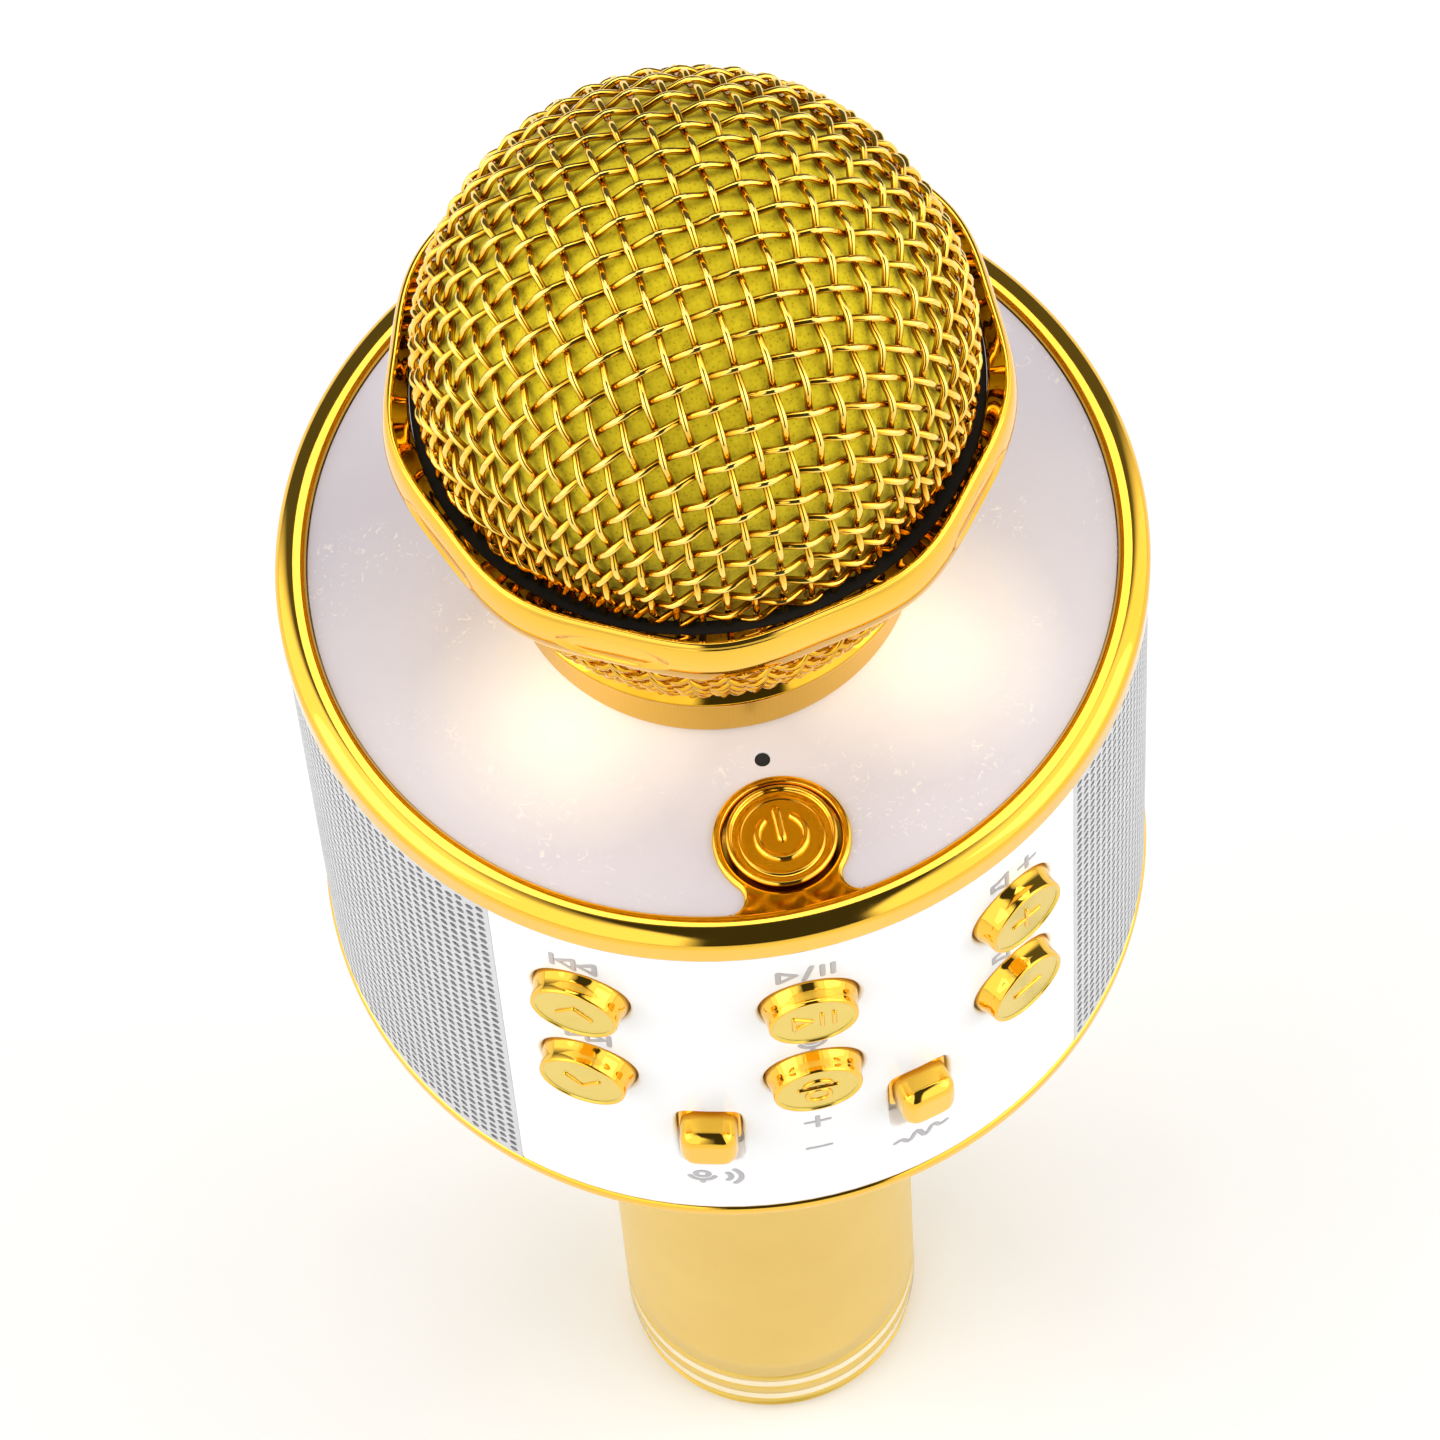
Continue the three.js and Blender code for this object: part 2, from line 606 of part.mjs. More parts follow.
function speakerCone() {
  const edge = basketRadius - BASKET_WALL - CONE_TRAVEL - 2 * GAP;
  const front = speakerFace - CONE_TRAVEL - GAP;
  const coilBack = basketBack + CONE_TRAVEL;
  const throat = coilBack + COIL_RADIUS / 2;
  return turned([
    [0, throat + CONE_SHEET],
    [COIL_RADIUS, throat + CONE_SHEET],
    [edge, front],
    [edge, front - CONE_SHEET],
    [COIL_RADIUS, throat],
    [COIL_RADIUS, coilBack],
    [COIL_RADIUS - CONE_SHEET, coilBack],
    [COIL_RADIUS - CONE_SHEET, throat],
    [0, throat],
  ], INNER_ROUND);
}

const magnetFront = basketBack - GAP;
const magnetBack = magnetFront - MAGNET_DEPTH;
for (const [side, angle] of Object.entries(sides)) {
  const place = outward(angle, wallMiddle);
  const magnet = ring(0, MAGNET_RADIUS, magnetBack, magnetFront, INNER_ROUND);
  addPiece(`speaker_frame_${side}`, speakerFrame(), blackPlastic, place);
  addPiece(`speaker_magnet_${side}`, magnet, steel, place);
  addPiece(`speaker_cone_${side}`, speakerCone(), conePaper, place);
}

// ------------------------------------------------------------------ control panel

function controlButton() {
  return turned([
    [0, flangeIn],
    [flangeRadius, flangeIn],
    [flangeRadius, flangeOut],
    [BUTTON_RADIUS, flangeOut],
    [BUTTON_RADIUS, wallRadius + BUTTON_PROUD / 2],
    [BUTTON_RADIUS - BUTTON_TAPER, wallRadius + BUTTON_PROUD],
    [0, wallRadius + BUTTON_PROUD],
  ], SMALL_ROUND);
}

/** A push switch standing on a base, its plunger drawn at the end of its stroke. */
function pushSwitch(base) {
  const bodyTop = base + SWITCH_BODY;
  const body = block(SWITCH_SIZE, SWITCH_SIZE, base, bodyTop);
  return join(body, rod(PLUNGER_RADIUS, bodyTop - 0.5, bodyTop + PLUNGER_HEIGHT));
}

function sliderKnob() {
  const face = wallRadius + KNOB_PROUD;
  const shoulder = face - KNOB_CHAMFER;
  const neck = new THREE.CylinderGeometry(
    (knobWidth / 2 - KNOB_CHAMFER) * Math.SQRT2, (knobWidth / 2) * Math.SQRT2, KNOB_CHAMFER, 4);
  neck.rotateY(Math.PI / 4).rotateX(Math.PI / 2);
  neck.scale(1, KNOB_HEIGHT / knobWidth, 1).translate(0, 0, shoulder + KNOB_CHAMFER / 2);
  const body = block(knobWidth, KNOB_HEIGHT, flangeIn, shoulder);
  const plate = block(knobWidth + 2, KNOB_HEIGHT + 2, flangeIn, flangeOut - GAP);
  const [stemWidth, stemHeight] = KNOB_STEM;
  const stem = block(stemWidth, stemHeight, potTop - POT_WALL + 2 * GAP, flangeIn + 0.5);
  return join(body, neck, plate, stem);
}

const potTop = controlBoardOut + GAP + POT_DEPTH;

function slidePot() {
  const [stemWidth, stemHeight] = KNOB_STEM;
  const gateWidth = stemWidth + 2 * GAP;
  const gateHeight = stemHeight + sliderTravel + 2 * GAP;
  const body = block(gateWidth + 3 * POT_WALL, gateHeight + 2 * POT_WALL, potTop - POT_DEPTH, potTop);
  return cut(body, block(gateWidth, gateHeight, potTop - POT_WALL, potTop + 1));
}

function controlBoard() {
  const half = CONTROL_BOARD_HALF_ANGLE;
  const top = upperDeckBottom - GAP;
  return curvedWall(controlBoardIn, controlBoardOut, -half, half, nutTop, top);
}

const buttonPlaces = {
  previous: [-COLUMN_ANGLE, rowLevels[0]],
  play: [0, rowLevels[0]],
  volume_up: [COLUMN_ANGLE, rowLevels[0]],
  next: [-COLUMN_ANGLE, rowLevels[1]],
  microphone: [0, rowLevels[1]],
  volume_down: [COLUMN_ANGLE, rowLevels[1]],
};
const sliderAngles = { mic_volume: -SLOT_ANGLE, effect: SLOT_ANGLE };

addPiece('control_board', controlBoard(), circuitGreen);
for (const [name, [angle, level]] of Object.entries(buttonPlaces)) {
  addPiece(`button_${name}`, controlButton(), brightGold, outward(angle, level));
  addPiece(`switch_${name}`, pushSwitch(switchBase), blackPlastic, outward(angle, level));
}
for (const [name, angle] of Object.entries(sliderAngles)) {
  addPiece(`slider_${name}`, sliderKnob(), brightGold, outward(angle, knobRest));
  addPiece(`slide_pot_${name}`, slidePot(), greyPlastic, outward(angle, slotLevel));
}

// ------------------------------------------------------------------ top of the drum

/** The bezel's round lobe about the power button with its bridge, grown by a margin. */
function powerLobe(bottom, top, margin = 0) {
  const reach = DRUM_RADIUS - TOP_BEZEL_WIDTH / 2 - powerAt;
  return join(
    rod(lobeRadius + margin, bottom, top, 0, -powerAt, INNER_ROUND),
    block(LOBE_BRIDGE + 2 * margin, reach, bottom, top, 0, -powerAt - reach / 2));
}

function topBezel() {
  const inner = DRUM_RADIUS - TOP_BEZEL_WIDTH;
  const rim = turned([
    [inner, rimLevel - TOP_BEZEL_DROP],
    [DRUM_RADIUS, rimLevel - TOP_BEZEL_DROP],
    [DRUM_RADIUS, rimLevel],
    [DRUM_RADIUS - TOP_BEZEL_ROUND, bezelCrest],
    [inner, bezelCrest],
  ]);
  const well = rod(wellRadius, plateBottom - 1, bezelCrest + 1, 0, -powerAt, INNER_ROUND);
  return cut(join(rim, powerLobe(plateBottom, bezelCrest)), well);
}

function topPlate() {
  const disc = ring(NECK_RADIUS + GAP, plateRadius, plateBottom, plateTop);
  const pinhole = rod(PINHOLE_RADIUS, plateBottom - 1, plateTop + 1, 0, -pinholeAt);
  return cut(disc, powerLobe(plateBottom - 1, plateTop + 1, GAP), pinhole);
}

function powerButton() {
  const bottom = rimLevel - powerFlangeDepth;
  const flangeTop = bottom + FLANGE_THICKNESS;
  return turned([
    [0, bottom],
    [powerFlange, bottom],
    [powerFlange, flangeTop],
    [POWER_RADIUS, flangeTop],
    [POWER_RADIUS, bezelCrest],
    [POWER_RADIUS - POWER_PROUD, bezelCrest + POWER_PROUD],
    [0, bezelCrest + POWER_PROUD],
  ], INNER_ROUND);
}

function lightBoard() {
  const outer = plateRadius - LIGHT_BOARD_INSET;
  const disc = ring(NECK_RADIUS + GAP, outer, lightBoardBottom, lightBoardTop);
  const clearance = powerFlange + 2 * GAP;
  return cut(disc, rod(clearance, lightBoardBottom - 1, lightBoardTop + 1, 0, -powerAt, INNER_ROUND));
}

const powerPlace = new THREE.Matrix4().makeTranslation(0, -powerAt, 0);
addPiece('top_bezel', topBezel(), brightGold);
addPiece('top_plate', topPlate(), frostedPlate);
addPiece('power_button', powerButton(), brightGold, powerPlace);
addPiece('power_switch', pushSwitch(rimLevel - powerSwitchDepth), blackPlastic, powerPlace);
addPiece('light_board', lightBoard(), circuitGreen);
for (const [name, angle] of Object.entries(LIGHT_ANGLES)) {
  const [width, depth, height] = LIGHT_SIZE;
  const light = block(width, depth, 0, height, 0, -lightAt);
  const place = new THREE.Matrix4().makeRotationZ(radians(angle));
  addPiece(`light_${name}`, light, warmLight, place.setPosition(0, 0, lightBoardTop + GAP));
}

// ------------------------------------------------------------------ neck and microphone capsule

function neckRing() {
  const inner = NECK_RADIUS - NECK_WALL;
  const bottom = upperDeckTop + GAP;
  const flangeTop = lightBoardBottom - GAP;
  return turned([
    [inner, bottom],
    [NECK_RADIUS + NECK_FLANGE, bottom],
    [NECK_RADIUS + NECK_FLANGE, flangeTop],
    [NECK_RADIUS, flangeTop],
    [NECK_RADIUS, neckTop],
    [inner, neckTop],
  ]);
}

/** A hollow post on a flange that sits inside the neck and carries the capsule's boot. */
function capsulePost() {
  const bore = POST_RADIUS - POST_WALL;
  const flange = NECK_RADIUS - NECK_WALL - GAP;
  const top = bootBottom - GAP;
  return turned([
    [bore, plateTop],
    [flange, plateTop],
    [flange, plateTop + POST_WALL],
    [POST_RADIUS, plateTop + POST_WALL],
    [POST_RADIUS, top],
    [bore, top],
  ], INNER_ROUND);
}

function capsuleBoot() {
  const inner = CAPSULE_RADIUS + GAP;
  const top = bootBottom + BOOT_HEIGHT;
  return turned([
    [0, bootBottom],
    [inner + BOOT_WALL, bootBottom],
    [inner + BOOT_WALL, top],
    [inner, top],
    [inner, bootBottom + BOOT_WALL],
    [0, bootBottom + BOOT_WALL],
  ], INNER_ROUND);
}

const capsule = ring(0, CAPSULE_RADIUS, capsuleBottom, capsuleTop, INNER_ROUND);
addPiece('neck_ring', neckRing(), blackPlastic);
addPiece('capsule_post', capsulePost(), blackPlastic);
addPiece('capsule_boot', capsuleBoot(), blackRubber);
addPiece('mic_capsule', capsule, steel);

// ------------------------------------------------------------------ ball grille

const meshSeam = GAP / 2; // dome and bowl meet at the band's middle
const ballInner = BALL_RADIUS - MESH_THICKNESS;

function grilleDome() {
  const edge = bandMiddle + meshSeam;
  return turned([
    [ballInner, edge],
    [BALL_RADIUS, edge],
    ...arc(BALL_RADIUS, ballCentre, 0, 90, DOME_STEPS).slice(0, -1),
    [0, ballCentre + BALL_RADIUS],
    [0, ballCentre + ballInner],
    ...arc(ballInner, ballCentre, 90, 0, DOME_STEPS).slice(1),
  ]);
}

function grilleBowl() {
  const edge = bandMiddle - meshSeam;
  return turned([
    [collarRadius - MESH_THICKNESS, bowlBottom],
    [collarRadius, bowlBottom],
    [BALL_RADIUS, bandBottom],
    [BALL_RADIUS, edge],
    [ballInner, edge],
    [ballInner, bandBottom],
  ]);
}

/** A faceted hoop whose inner step holds the dome's and the bowl's edges. */
function grilleBand() {
  const step = BAND_HEIGHT / 4;
  const holding = BALL_RADIUS + 2 * GAP;
  const open = bandRadius - BAND_WALL;
  return turned([
    [holding, bandBottom + step],
    [open, bandBottom],
    [bandRadius - 0.5, bandBottom],
    [bandRadius, bandBottom + 0.5],
    [bandRadius, bandTop - 0.5],
    [bandRadius - 0.5, bandTop],
    [open, bandTop],
    [holding, bandTop - step],
  ], 2 * BAND_FACETS);
}

function grilleCollar() {
  const bore = NECK_RADIUS + GAP;
  const sealTop = collarBottom + SEAL_HEIGHT + GAP;
  return turned([
    [collarRadius - COLLAR_WALL, collarBottom],
    [collarRadius, collarBottom],
    [collarRadius, collarTop],
    [bore, collarTop],
    [bore, sealTop],
    [collarRadius - COLLAR_WALL, sealTop],
  ]);
}

function grilleSeal() {
  const inner = NECK_RADIUS + GAP;
  const outer = collarRadius - COLLAR_WALL - GAP;
  return ring(inner, outer, collarBottom, collarBottom + SEAL_HEIGHT);
}

/** Foam that lines the dome and the bowl, with a bore that clears the capsule's boot. */
function foamLiner() {
  const clear = MESH_THICKNESS + 2 * GAP;
  const outer = BALL_RADIUS - clear;
  const boreTop = capsuleTop + 2;
  const bottom = Math.max(bowlBottom, neckTop) + 1;
  return turned([
    [0, ballCentre + outer],
    ...arc(outer, ballCentre, 90, 0, DOME_STEPS).slice(1),
    [outer, bandBottom],
    [collarRadius - clear, bottom],
    [foamBore, bottom],
    [foamBore, boreTop],
    [0, boreTop],
  ], INNER_ROUND);
}

addPiece('grille_collar', grilleCollar(), satinGold);
addPiece('grille_seal', grilleSeal(), blackRubber);
addPiece('grille_bowl', grilleBowl(), goldWire);
addPiece('grille_band', grilleBand(), brightGold);
addPiece('grille_dome', grilleDome(), goldWire);
addPiece('foam_liner', foamLiner(), foam);

export default microphone;
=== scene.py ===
import json
import math

import bpy
from mathutils import Matrix, Vector, geometry, noise


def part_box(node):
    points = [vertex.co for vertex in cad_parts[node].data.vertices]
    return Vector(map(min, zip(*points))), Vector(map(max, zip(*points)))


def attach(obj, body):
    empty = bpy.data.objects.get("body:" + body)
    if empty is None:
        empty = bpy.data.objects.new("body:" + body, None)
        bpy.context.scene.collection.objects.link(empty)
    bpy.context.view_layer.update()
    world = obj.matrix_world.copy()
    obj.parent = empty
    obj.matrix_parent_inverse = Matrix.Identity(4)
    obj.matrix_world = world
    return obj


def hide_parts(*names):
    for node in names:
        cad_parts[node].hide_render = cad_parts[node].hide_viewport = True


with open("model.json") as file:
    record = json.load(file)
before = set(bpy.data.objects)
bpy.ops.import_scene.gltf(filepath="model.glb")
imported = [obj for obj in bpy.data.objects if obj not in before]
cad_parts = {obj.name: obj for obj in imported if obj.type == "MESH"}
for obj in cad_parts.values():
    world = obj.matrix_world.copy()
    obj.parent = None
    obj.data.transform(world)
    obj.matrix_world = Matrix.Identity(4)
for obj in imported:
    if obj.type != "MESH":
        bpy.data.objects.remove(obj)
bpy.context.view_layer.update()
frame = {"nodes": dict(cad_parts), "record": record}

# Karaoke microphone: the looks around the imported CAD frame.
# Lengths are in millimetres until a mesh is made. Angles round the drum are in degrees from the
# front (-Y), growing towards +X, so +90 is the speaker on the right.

MM = 0.001


def span(node):
    """Lowest and highest corners of a CAD node in millimetres."""
    low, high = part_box(node)
    return low / MM, high / MM


def centre_of(node):
    low, high = span(node)
    return (low + high) / 2


# ------------------------------------------------------------------ sizes read from the frame

DRUM = span("top_bezel")[1].x  # outer radius of both bezels
BEZEL_TOP = span("top_bezel")[1].z
BEZEL_FOOT = span("top_bezel")[0].z
WALL_LOW, WALL_HIGH = span("front_panel")[0].z, span("front_panel")[1].z
WALL = -span("front_panel")[0].y  # outer radius of the wall
PANEL_HALF = math.degrees(math.asin(span("front_panel")[1].x / WALL))
GRILLE_HALF = math.degrees(math.asin(span("speaker_grille_left")[1].y / (WALL - 0.4)))
PLATE_LOW, PLATE_TOP = span("top_plate")[0].z, span("top_plate")[1].z
HANDLE_END = span("handle_end_cap")[1].x
HANDLE_TOP = span("handle_tube")[1].x
CAP_SEAM = span("handle_tube")[0].z
BASE_LOW, BASE_HIGH = span("base_bezel")[0].z, span("base_bezel")[1].z
BALL = span("grille_dome")[1].x
BALL_TOP = span("grille_dome")[1].z
BALL_CENTRE = BALL_TOP - BALL
BAND_LOW, BAND_HIGH = span("grille_band")[0].z, span("grille_band")[1].z
BAND = span("grille_band")[1].x
BOWL_LOW = span("grille_bowl")[0].z
COLLAR = span("grille_collar")[1].x
COLLAR_LOW, COLLAR_HIGH = span("grille_collar")[0].z, span("grille_collar")[1].z
FOAM_LOW = span("foam_liner")[0].z
BUTTON_FACE = -span("button_play")[0].y
POWER_TOP = span("power_button")[1].z
POWER_AT = centre_of("power_button").y
KNOB_FACE = 44.8  # radius of the slider knobs' faces

# ------------------------------------------------------------------ camera, floor and light

CAMERA_AIM = (-0.56, 0.08, 140.7)
CAMERA_AZIMUTH = -7.814
CAMERA_ELEVATION = 62.875
CAMERA_DISTANCE = 829.4
CAMERA_ROLL = -4.830
CAMERA_LENS = 208.3
SENSOR = 36.0


def around(azimuth, elevation, distance, aim):
    """Point at a distance from aim, in metres."""
    a, e = math.radians(azimuth), math.radians(elevation)
    offset = Vector((math.sin(a) * math.cos(e), -math.cos(a) * math.cos(e), math.sin(e)))
    return (Vector(aim) + offset * distance) * MM


def facing(location, aim, roll=0.0):
    """Orientation of a camera or light at location that looks at aim."""
    look = (Vector(aim) * MM - location).to_track_quat("-Z", "Y")
    return (look.to_matrix() @ Matrix.Rotation(math.radians(roll), 3, "Z")).to_euler()


def add_camera():
    data = bpy.data.cameras.new("camera")
    data.lens = CAMERA_LENS
    data.sensor_width = SENSOR
    data.clip_start, data.clip_end = 0.01, 50
    camera = bpy.data.objects.new("camera", data)
    camera.location = around(CAMERA_AZIMUTH, CAMERA_ELEVATION, CAMERA_DISTANCE, CAMERA_AIM)
    camera.rotation_euler = facing(camera.location, CAMERA_AIM, CAMERA_ROLL)
    bpy.context.scene.collection.objects.link(camera)
    bpy.context.scene.camera = camera


def softbox(name, azimuth, elevation, distance, size, power, aim=(0, 0, 160), colour=(1, 1, 1)):
    data = bpy.data.lights.new(name, "AREA")
    data.shape = "RECTANGLE"
    data.size, data.size_y = size
    data.energy = power
    data.color = colour
    light = bpy.data.objects.new(name, data)
    light.location = around(azimuth, elevation, distance, aim)
    light.rotation_euler = facing(light.location, aim)
    light.visible_camera = False
    bpy.context.scene.collection.objects.link(light)


# Studio round the object: brightness by azimuth (degrees from the front) near the horizon
SURROUND = [(-180, 0.10), (-138, 0.10), (-126, 1.5), (-21, 1.5), (-16, 0.05), (15, 0.05),
            (20, 1.5), (112, 1.5), (126, 0.12), (180, 0.10)]
OVERHEAD = 0.42
OVERHEAD_FROM = (0.88, 0.96)  # height of a direction's unit vector where the overhead begins
# A dark strip runs from the front horizon over the top: its brightness where it is full, its
# sideways position as the X of a direction, and the Y of a direction where it ends behind
STRIP_LEVEL = 0.05
STRIP = [(-1.0, 0), (-0.26, 0), (-0.21, 1), (0.24, 1), (0.29, 0), (1.0, 0)]
STRIP_ENDS = (0.02, 0.12)


def add_world():
    """A plain studio: bright walls left and right, dimmer above, a dark strip in front."""
    world = bpy.data.worlds.new("studio")
    bpy.context.scene.world = world
    world.use_nodes = True
    tree = world.node_tree
    tree.nodes.clear()
    at = node(tree, "ShaderNodeTexCoord").outputs["Generated"]
    split = node(tree, "ShaderNodeSeparateXYZ", Vector=at).outputs
    back = combine(tree, "MULTIPLY", split["Y"], -1)
    azimuth = combine(tree, "ARCTAN2", split["X"], back)
    share = remap(tree, azimuth, 0, 1, -math.pi, math.pi)
    sides = ramp_of(tree, share, [((a + 180) / 360, (v, v, v)) for a, v in SURROUND])
    above = remap(tree, split["Z"], 0, 1, *OVERHEAD_FROM)
    both = node(tree, "ShaderNodeMixRGB", Fac=above, Color1=sides, Color2=(*[OVERHEAD] * 3, 1))
    sideways = remap(tree, split["X"], 0, 1, -1, 1)
    strip = ramp_of(tree, sideways, [((x + 1) / 2, (v, v, v)) for x, v in STRIP])
    ahead = remap(tree, split["Y"], 1, 0, *STRIP_ENDS)
    dimmed = node(tree, "ShaderNodeMixRGB", Fac=combine(tree, "MULTIPLY", strip, ahead),
                  Color1=both.outputs[0], Color2=(*[STRIP_LEVEL] * 3, 1))
    sky = node(tree, "ShaderNodeBackground", Color=dimmed.outputs[0], Strength=1.0)
    node(tree, "ShaderNodeOutputWorld", Surface=sky.outputs[0])


def add_light():
    softbox("softbox_left", -85, 30, 1300, (0.9, 0.9), 3.5)
    softbox("softbox_right", 70, 30, 1300, (0.9, 0.9), 3.5)
    softbox("softbox_top", 170, 70, 1500, (1.2, 0.9), 7)


# ------------------------------------------------------------------ shapes

class Shape:
    """Points in millimetres and faces, gathered before they become one piece."""

    def __init__(self):
        self.points, self.faces, self.marks = [], [], []

    def add(self, points, faces, marks):
        start = len(self.points)
        self.points += [tuple(p) for p in points]
        self.faces += [[start + i for i in face] for face in faces]
        self.marks += marks

    def skin(self, rows, mark=0, wrap=False, ends=True, marks=None):
        """Quads between closed rows of points. wrap joins the last row to the first."""
        count = len(rows[0])
        points = [p for row in rows for p in row]
        faces, face_marks = [], []
        for i in range(len(rows) if wrap else len(rows) - 1):
            near, far = i * count, (i + 1) % len(rows) * count
            for j in range(count):
                k = (j + 1) % count
                faces.append([near + j, near + k, far + k, far + j])
                face_marks.append(marks[i] if marks else mark)
        if ends and not wrap:
            faces.append(list(range(count))[::-1])
            faces.append([(len(rows) - 1) * count + j for j in range(count)])
            face_marks += [marks[0], marks[-1]] if marks else [mark, mark]
        self.add(points, faces, face_marks)

    def piece(self, name, materials, body, slot, nodes=(), smooth=True, flats=False):
        mesh = bpy.data.meshes.new(name)
        mesh.from_pydata([Vector(p) * MM for p in self.points], [], self.faces)
        for material in materials:
            mesh.materials.append(material)
        mesh.polygons.foreach_set("material_index", self.marks)
        mesh.polygons.foreach_set("use_smooth", [smooth] * len(self.faces))
        mesh.validate()
        mesh.update()
        thing = bpy.data.objects.new(name, mesh)
        bpy.context.scene.collection.objects.link(thing)
        if flats:
            keep = thing.modifiers.new("flats", "WEIGHTED_NORMAL")
            keep.weight = 100
        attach(thing, body)
        if nodes:
            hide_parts(*nodes)
        return thing


def spot(angle, radius, z):
    """Point at an angle round the drum."""
    a = math.radians(angle)
    return (radius * math.sin(a), -radius * math.cos(a), z)


def turned(shape, profile, count=240, wrap=True, centre=(0, 0), reach=None, marks=None):
    """Turns (radius, z) points round the vertical axis through centre.
    reach(angle, row) is added to the radius."""
    rows = []
    for index, (radius, z) in enumerate(profile):
        row = []
        for j in range(count):
            angle = 360 * j / count
            extra = reach(angle, index) if reach else 0
            x, y, _ = spot(angle, radius + extra, z)
            row.append((x + centre[0], y + centre[1], z))
        rows.append(row)
    shape.skin(rows, wrap=wrap, marks=marks)


def rounded(corners, radius, steps=5):
    """Profile through corners, each rounded by an arc of about that radius."""
    out = []
    for i, corner in enumerate(corners):
        before, here, after = (Vector(corners[i - 1]), Vector(corner),
                               Vector(corners[(i + 1) % len(corners)]))
        r = radius[i] if isinstance(radius, (list, tuple)) else radius
        if r <= 0:
            out.append(tuple(here))
            continue
        a, b = (before - here), (after - here)
        r = min(r, a.length * 0.49, b.length * 0.49)
        a, b = here + a.normalized() * r, here + b.normalized() * r
        for s in range(steps + 1):
            t = s / steps
            out.append(tuple(a * (1 - t) ** 2 + here * 2 * t * (1 - t) + b * t * t))
    return out


def ring(x, y, radius, count=48):
    return [(x + radius * math.cos(2 * math.pi * i / count),
             y + radius * math.sin(2 * math.pi * i / count)) for i in range(count)]


def arc(x, y, radius, start, end, count=14):
    angles = [math.radians(start + (end - start) * i / count) for i in range(count + 1)]
    return [(x + radius * math.cos(a), y + radius * math.sin(a)) for a in angles]


def line(a, b, count=4):
    return [(a[0] + (b[0] - a[0]) * i / count, a[1] + (b[1] - a[1]) * i / count)
            for i in range(count + 1)]


def squircle(x, y, width, height, power=4.0, count=64):
    """Outline between an ellipse (power 2) and a rectangle."""
    out = []
    for i in range(count):
        c, s = math.cos(2 * math.pi * i / count), math.sin(2 * math.pi * i / count)
        out.append((x + width / 2 * math.copysign(abs(c) ** (2 / power), c),
                    y + height / 2 * math.copysign(abs(s) ** (2 / power), s)))
    return out


def lane(x, y, width, height, count=24):
    """Stadium outline, longer along x or y."""
    r = min(width, height) / 2
    dx, dy = width / 2 - r, height / 2 - r
    out = []
    for i in range(4 * (count // 4)):
        a = 2 * math.pi * (i + 0.5) / (4 * (count // 4))
        c, s = math.cos(a), math.sin(a)
        out.append((x + math.copysign(dx, c) + r * c, y + math.copysign(dy, s) + r * s))
    return out


def area(loop):
    return sum(a[0] * b[1] - b[0] * a[1] for a, b in zip(loop, loop[1:] + loop[:1])) / 2


def inset(loop, distance):
    """Moves each point of an anticlockwise loop inwards."""
    out = []
    for i, p in enumerate(loop):
        a, b = loop[i - 1], loop[(i + 1) % len(loop)]
        along = Vector((b[0] - a[0], b[1] - a[1])).normalized()
        out.append((p[0] - along.y * distance, p[1] + along.x * distance))
    return out


def within(point, loop):
    x, y = point
    odd = False
    for (ax, ay), (bx, by) in zip(loop, loop[1:] + loop[:1]):
        if (ay > y) != (by > y) and x < (bx - ax) * (y - ay) / (by - ay) + ax:
            odd = not odd
    return odd


def filled(outline, holes, grid):
    """Triangles that fill an outline round its holes, as points and faces."""
    loops = [outline] + holes
    points = [Vector(p) for loop in loops for p in loop] + [Vector(p) for p in grid]
    owner, edges, start = [], [], 0
    for index, loop in enumerate(loops):
        edges += [(start + i, start + (i + 1) % len(loop)) for i in range(len(loop))]
        owner += [index] * len(loop)
        start += len(loop)
    owner += [-1] * len(grid)
    found = geometry.delaunay_2d_cdt(points, edges, [], 1, 1e-5)
    flat, faces, origin = found[0], found[2], found[3]
    owners = [owner[o[0]] if o else -1 for o in origin]
    kept = []
    for face in faces:
        loop = owners[face[0]]
        if loop > 0 and all(owners[i] == loop for i in face):
            continue
        a, b, c = (flat[i] for i in face)
        turn = (b.x - a.x) * (c.y - a.y) - (b.y - a.y) * (c.x - a.x)
        kept.append(list(face) if turn > 0 else list(face)[::-1])
    return [tuple(p) for p in flat], kept


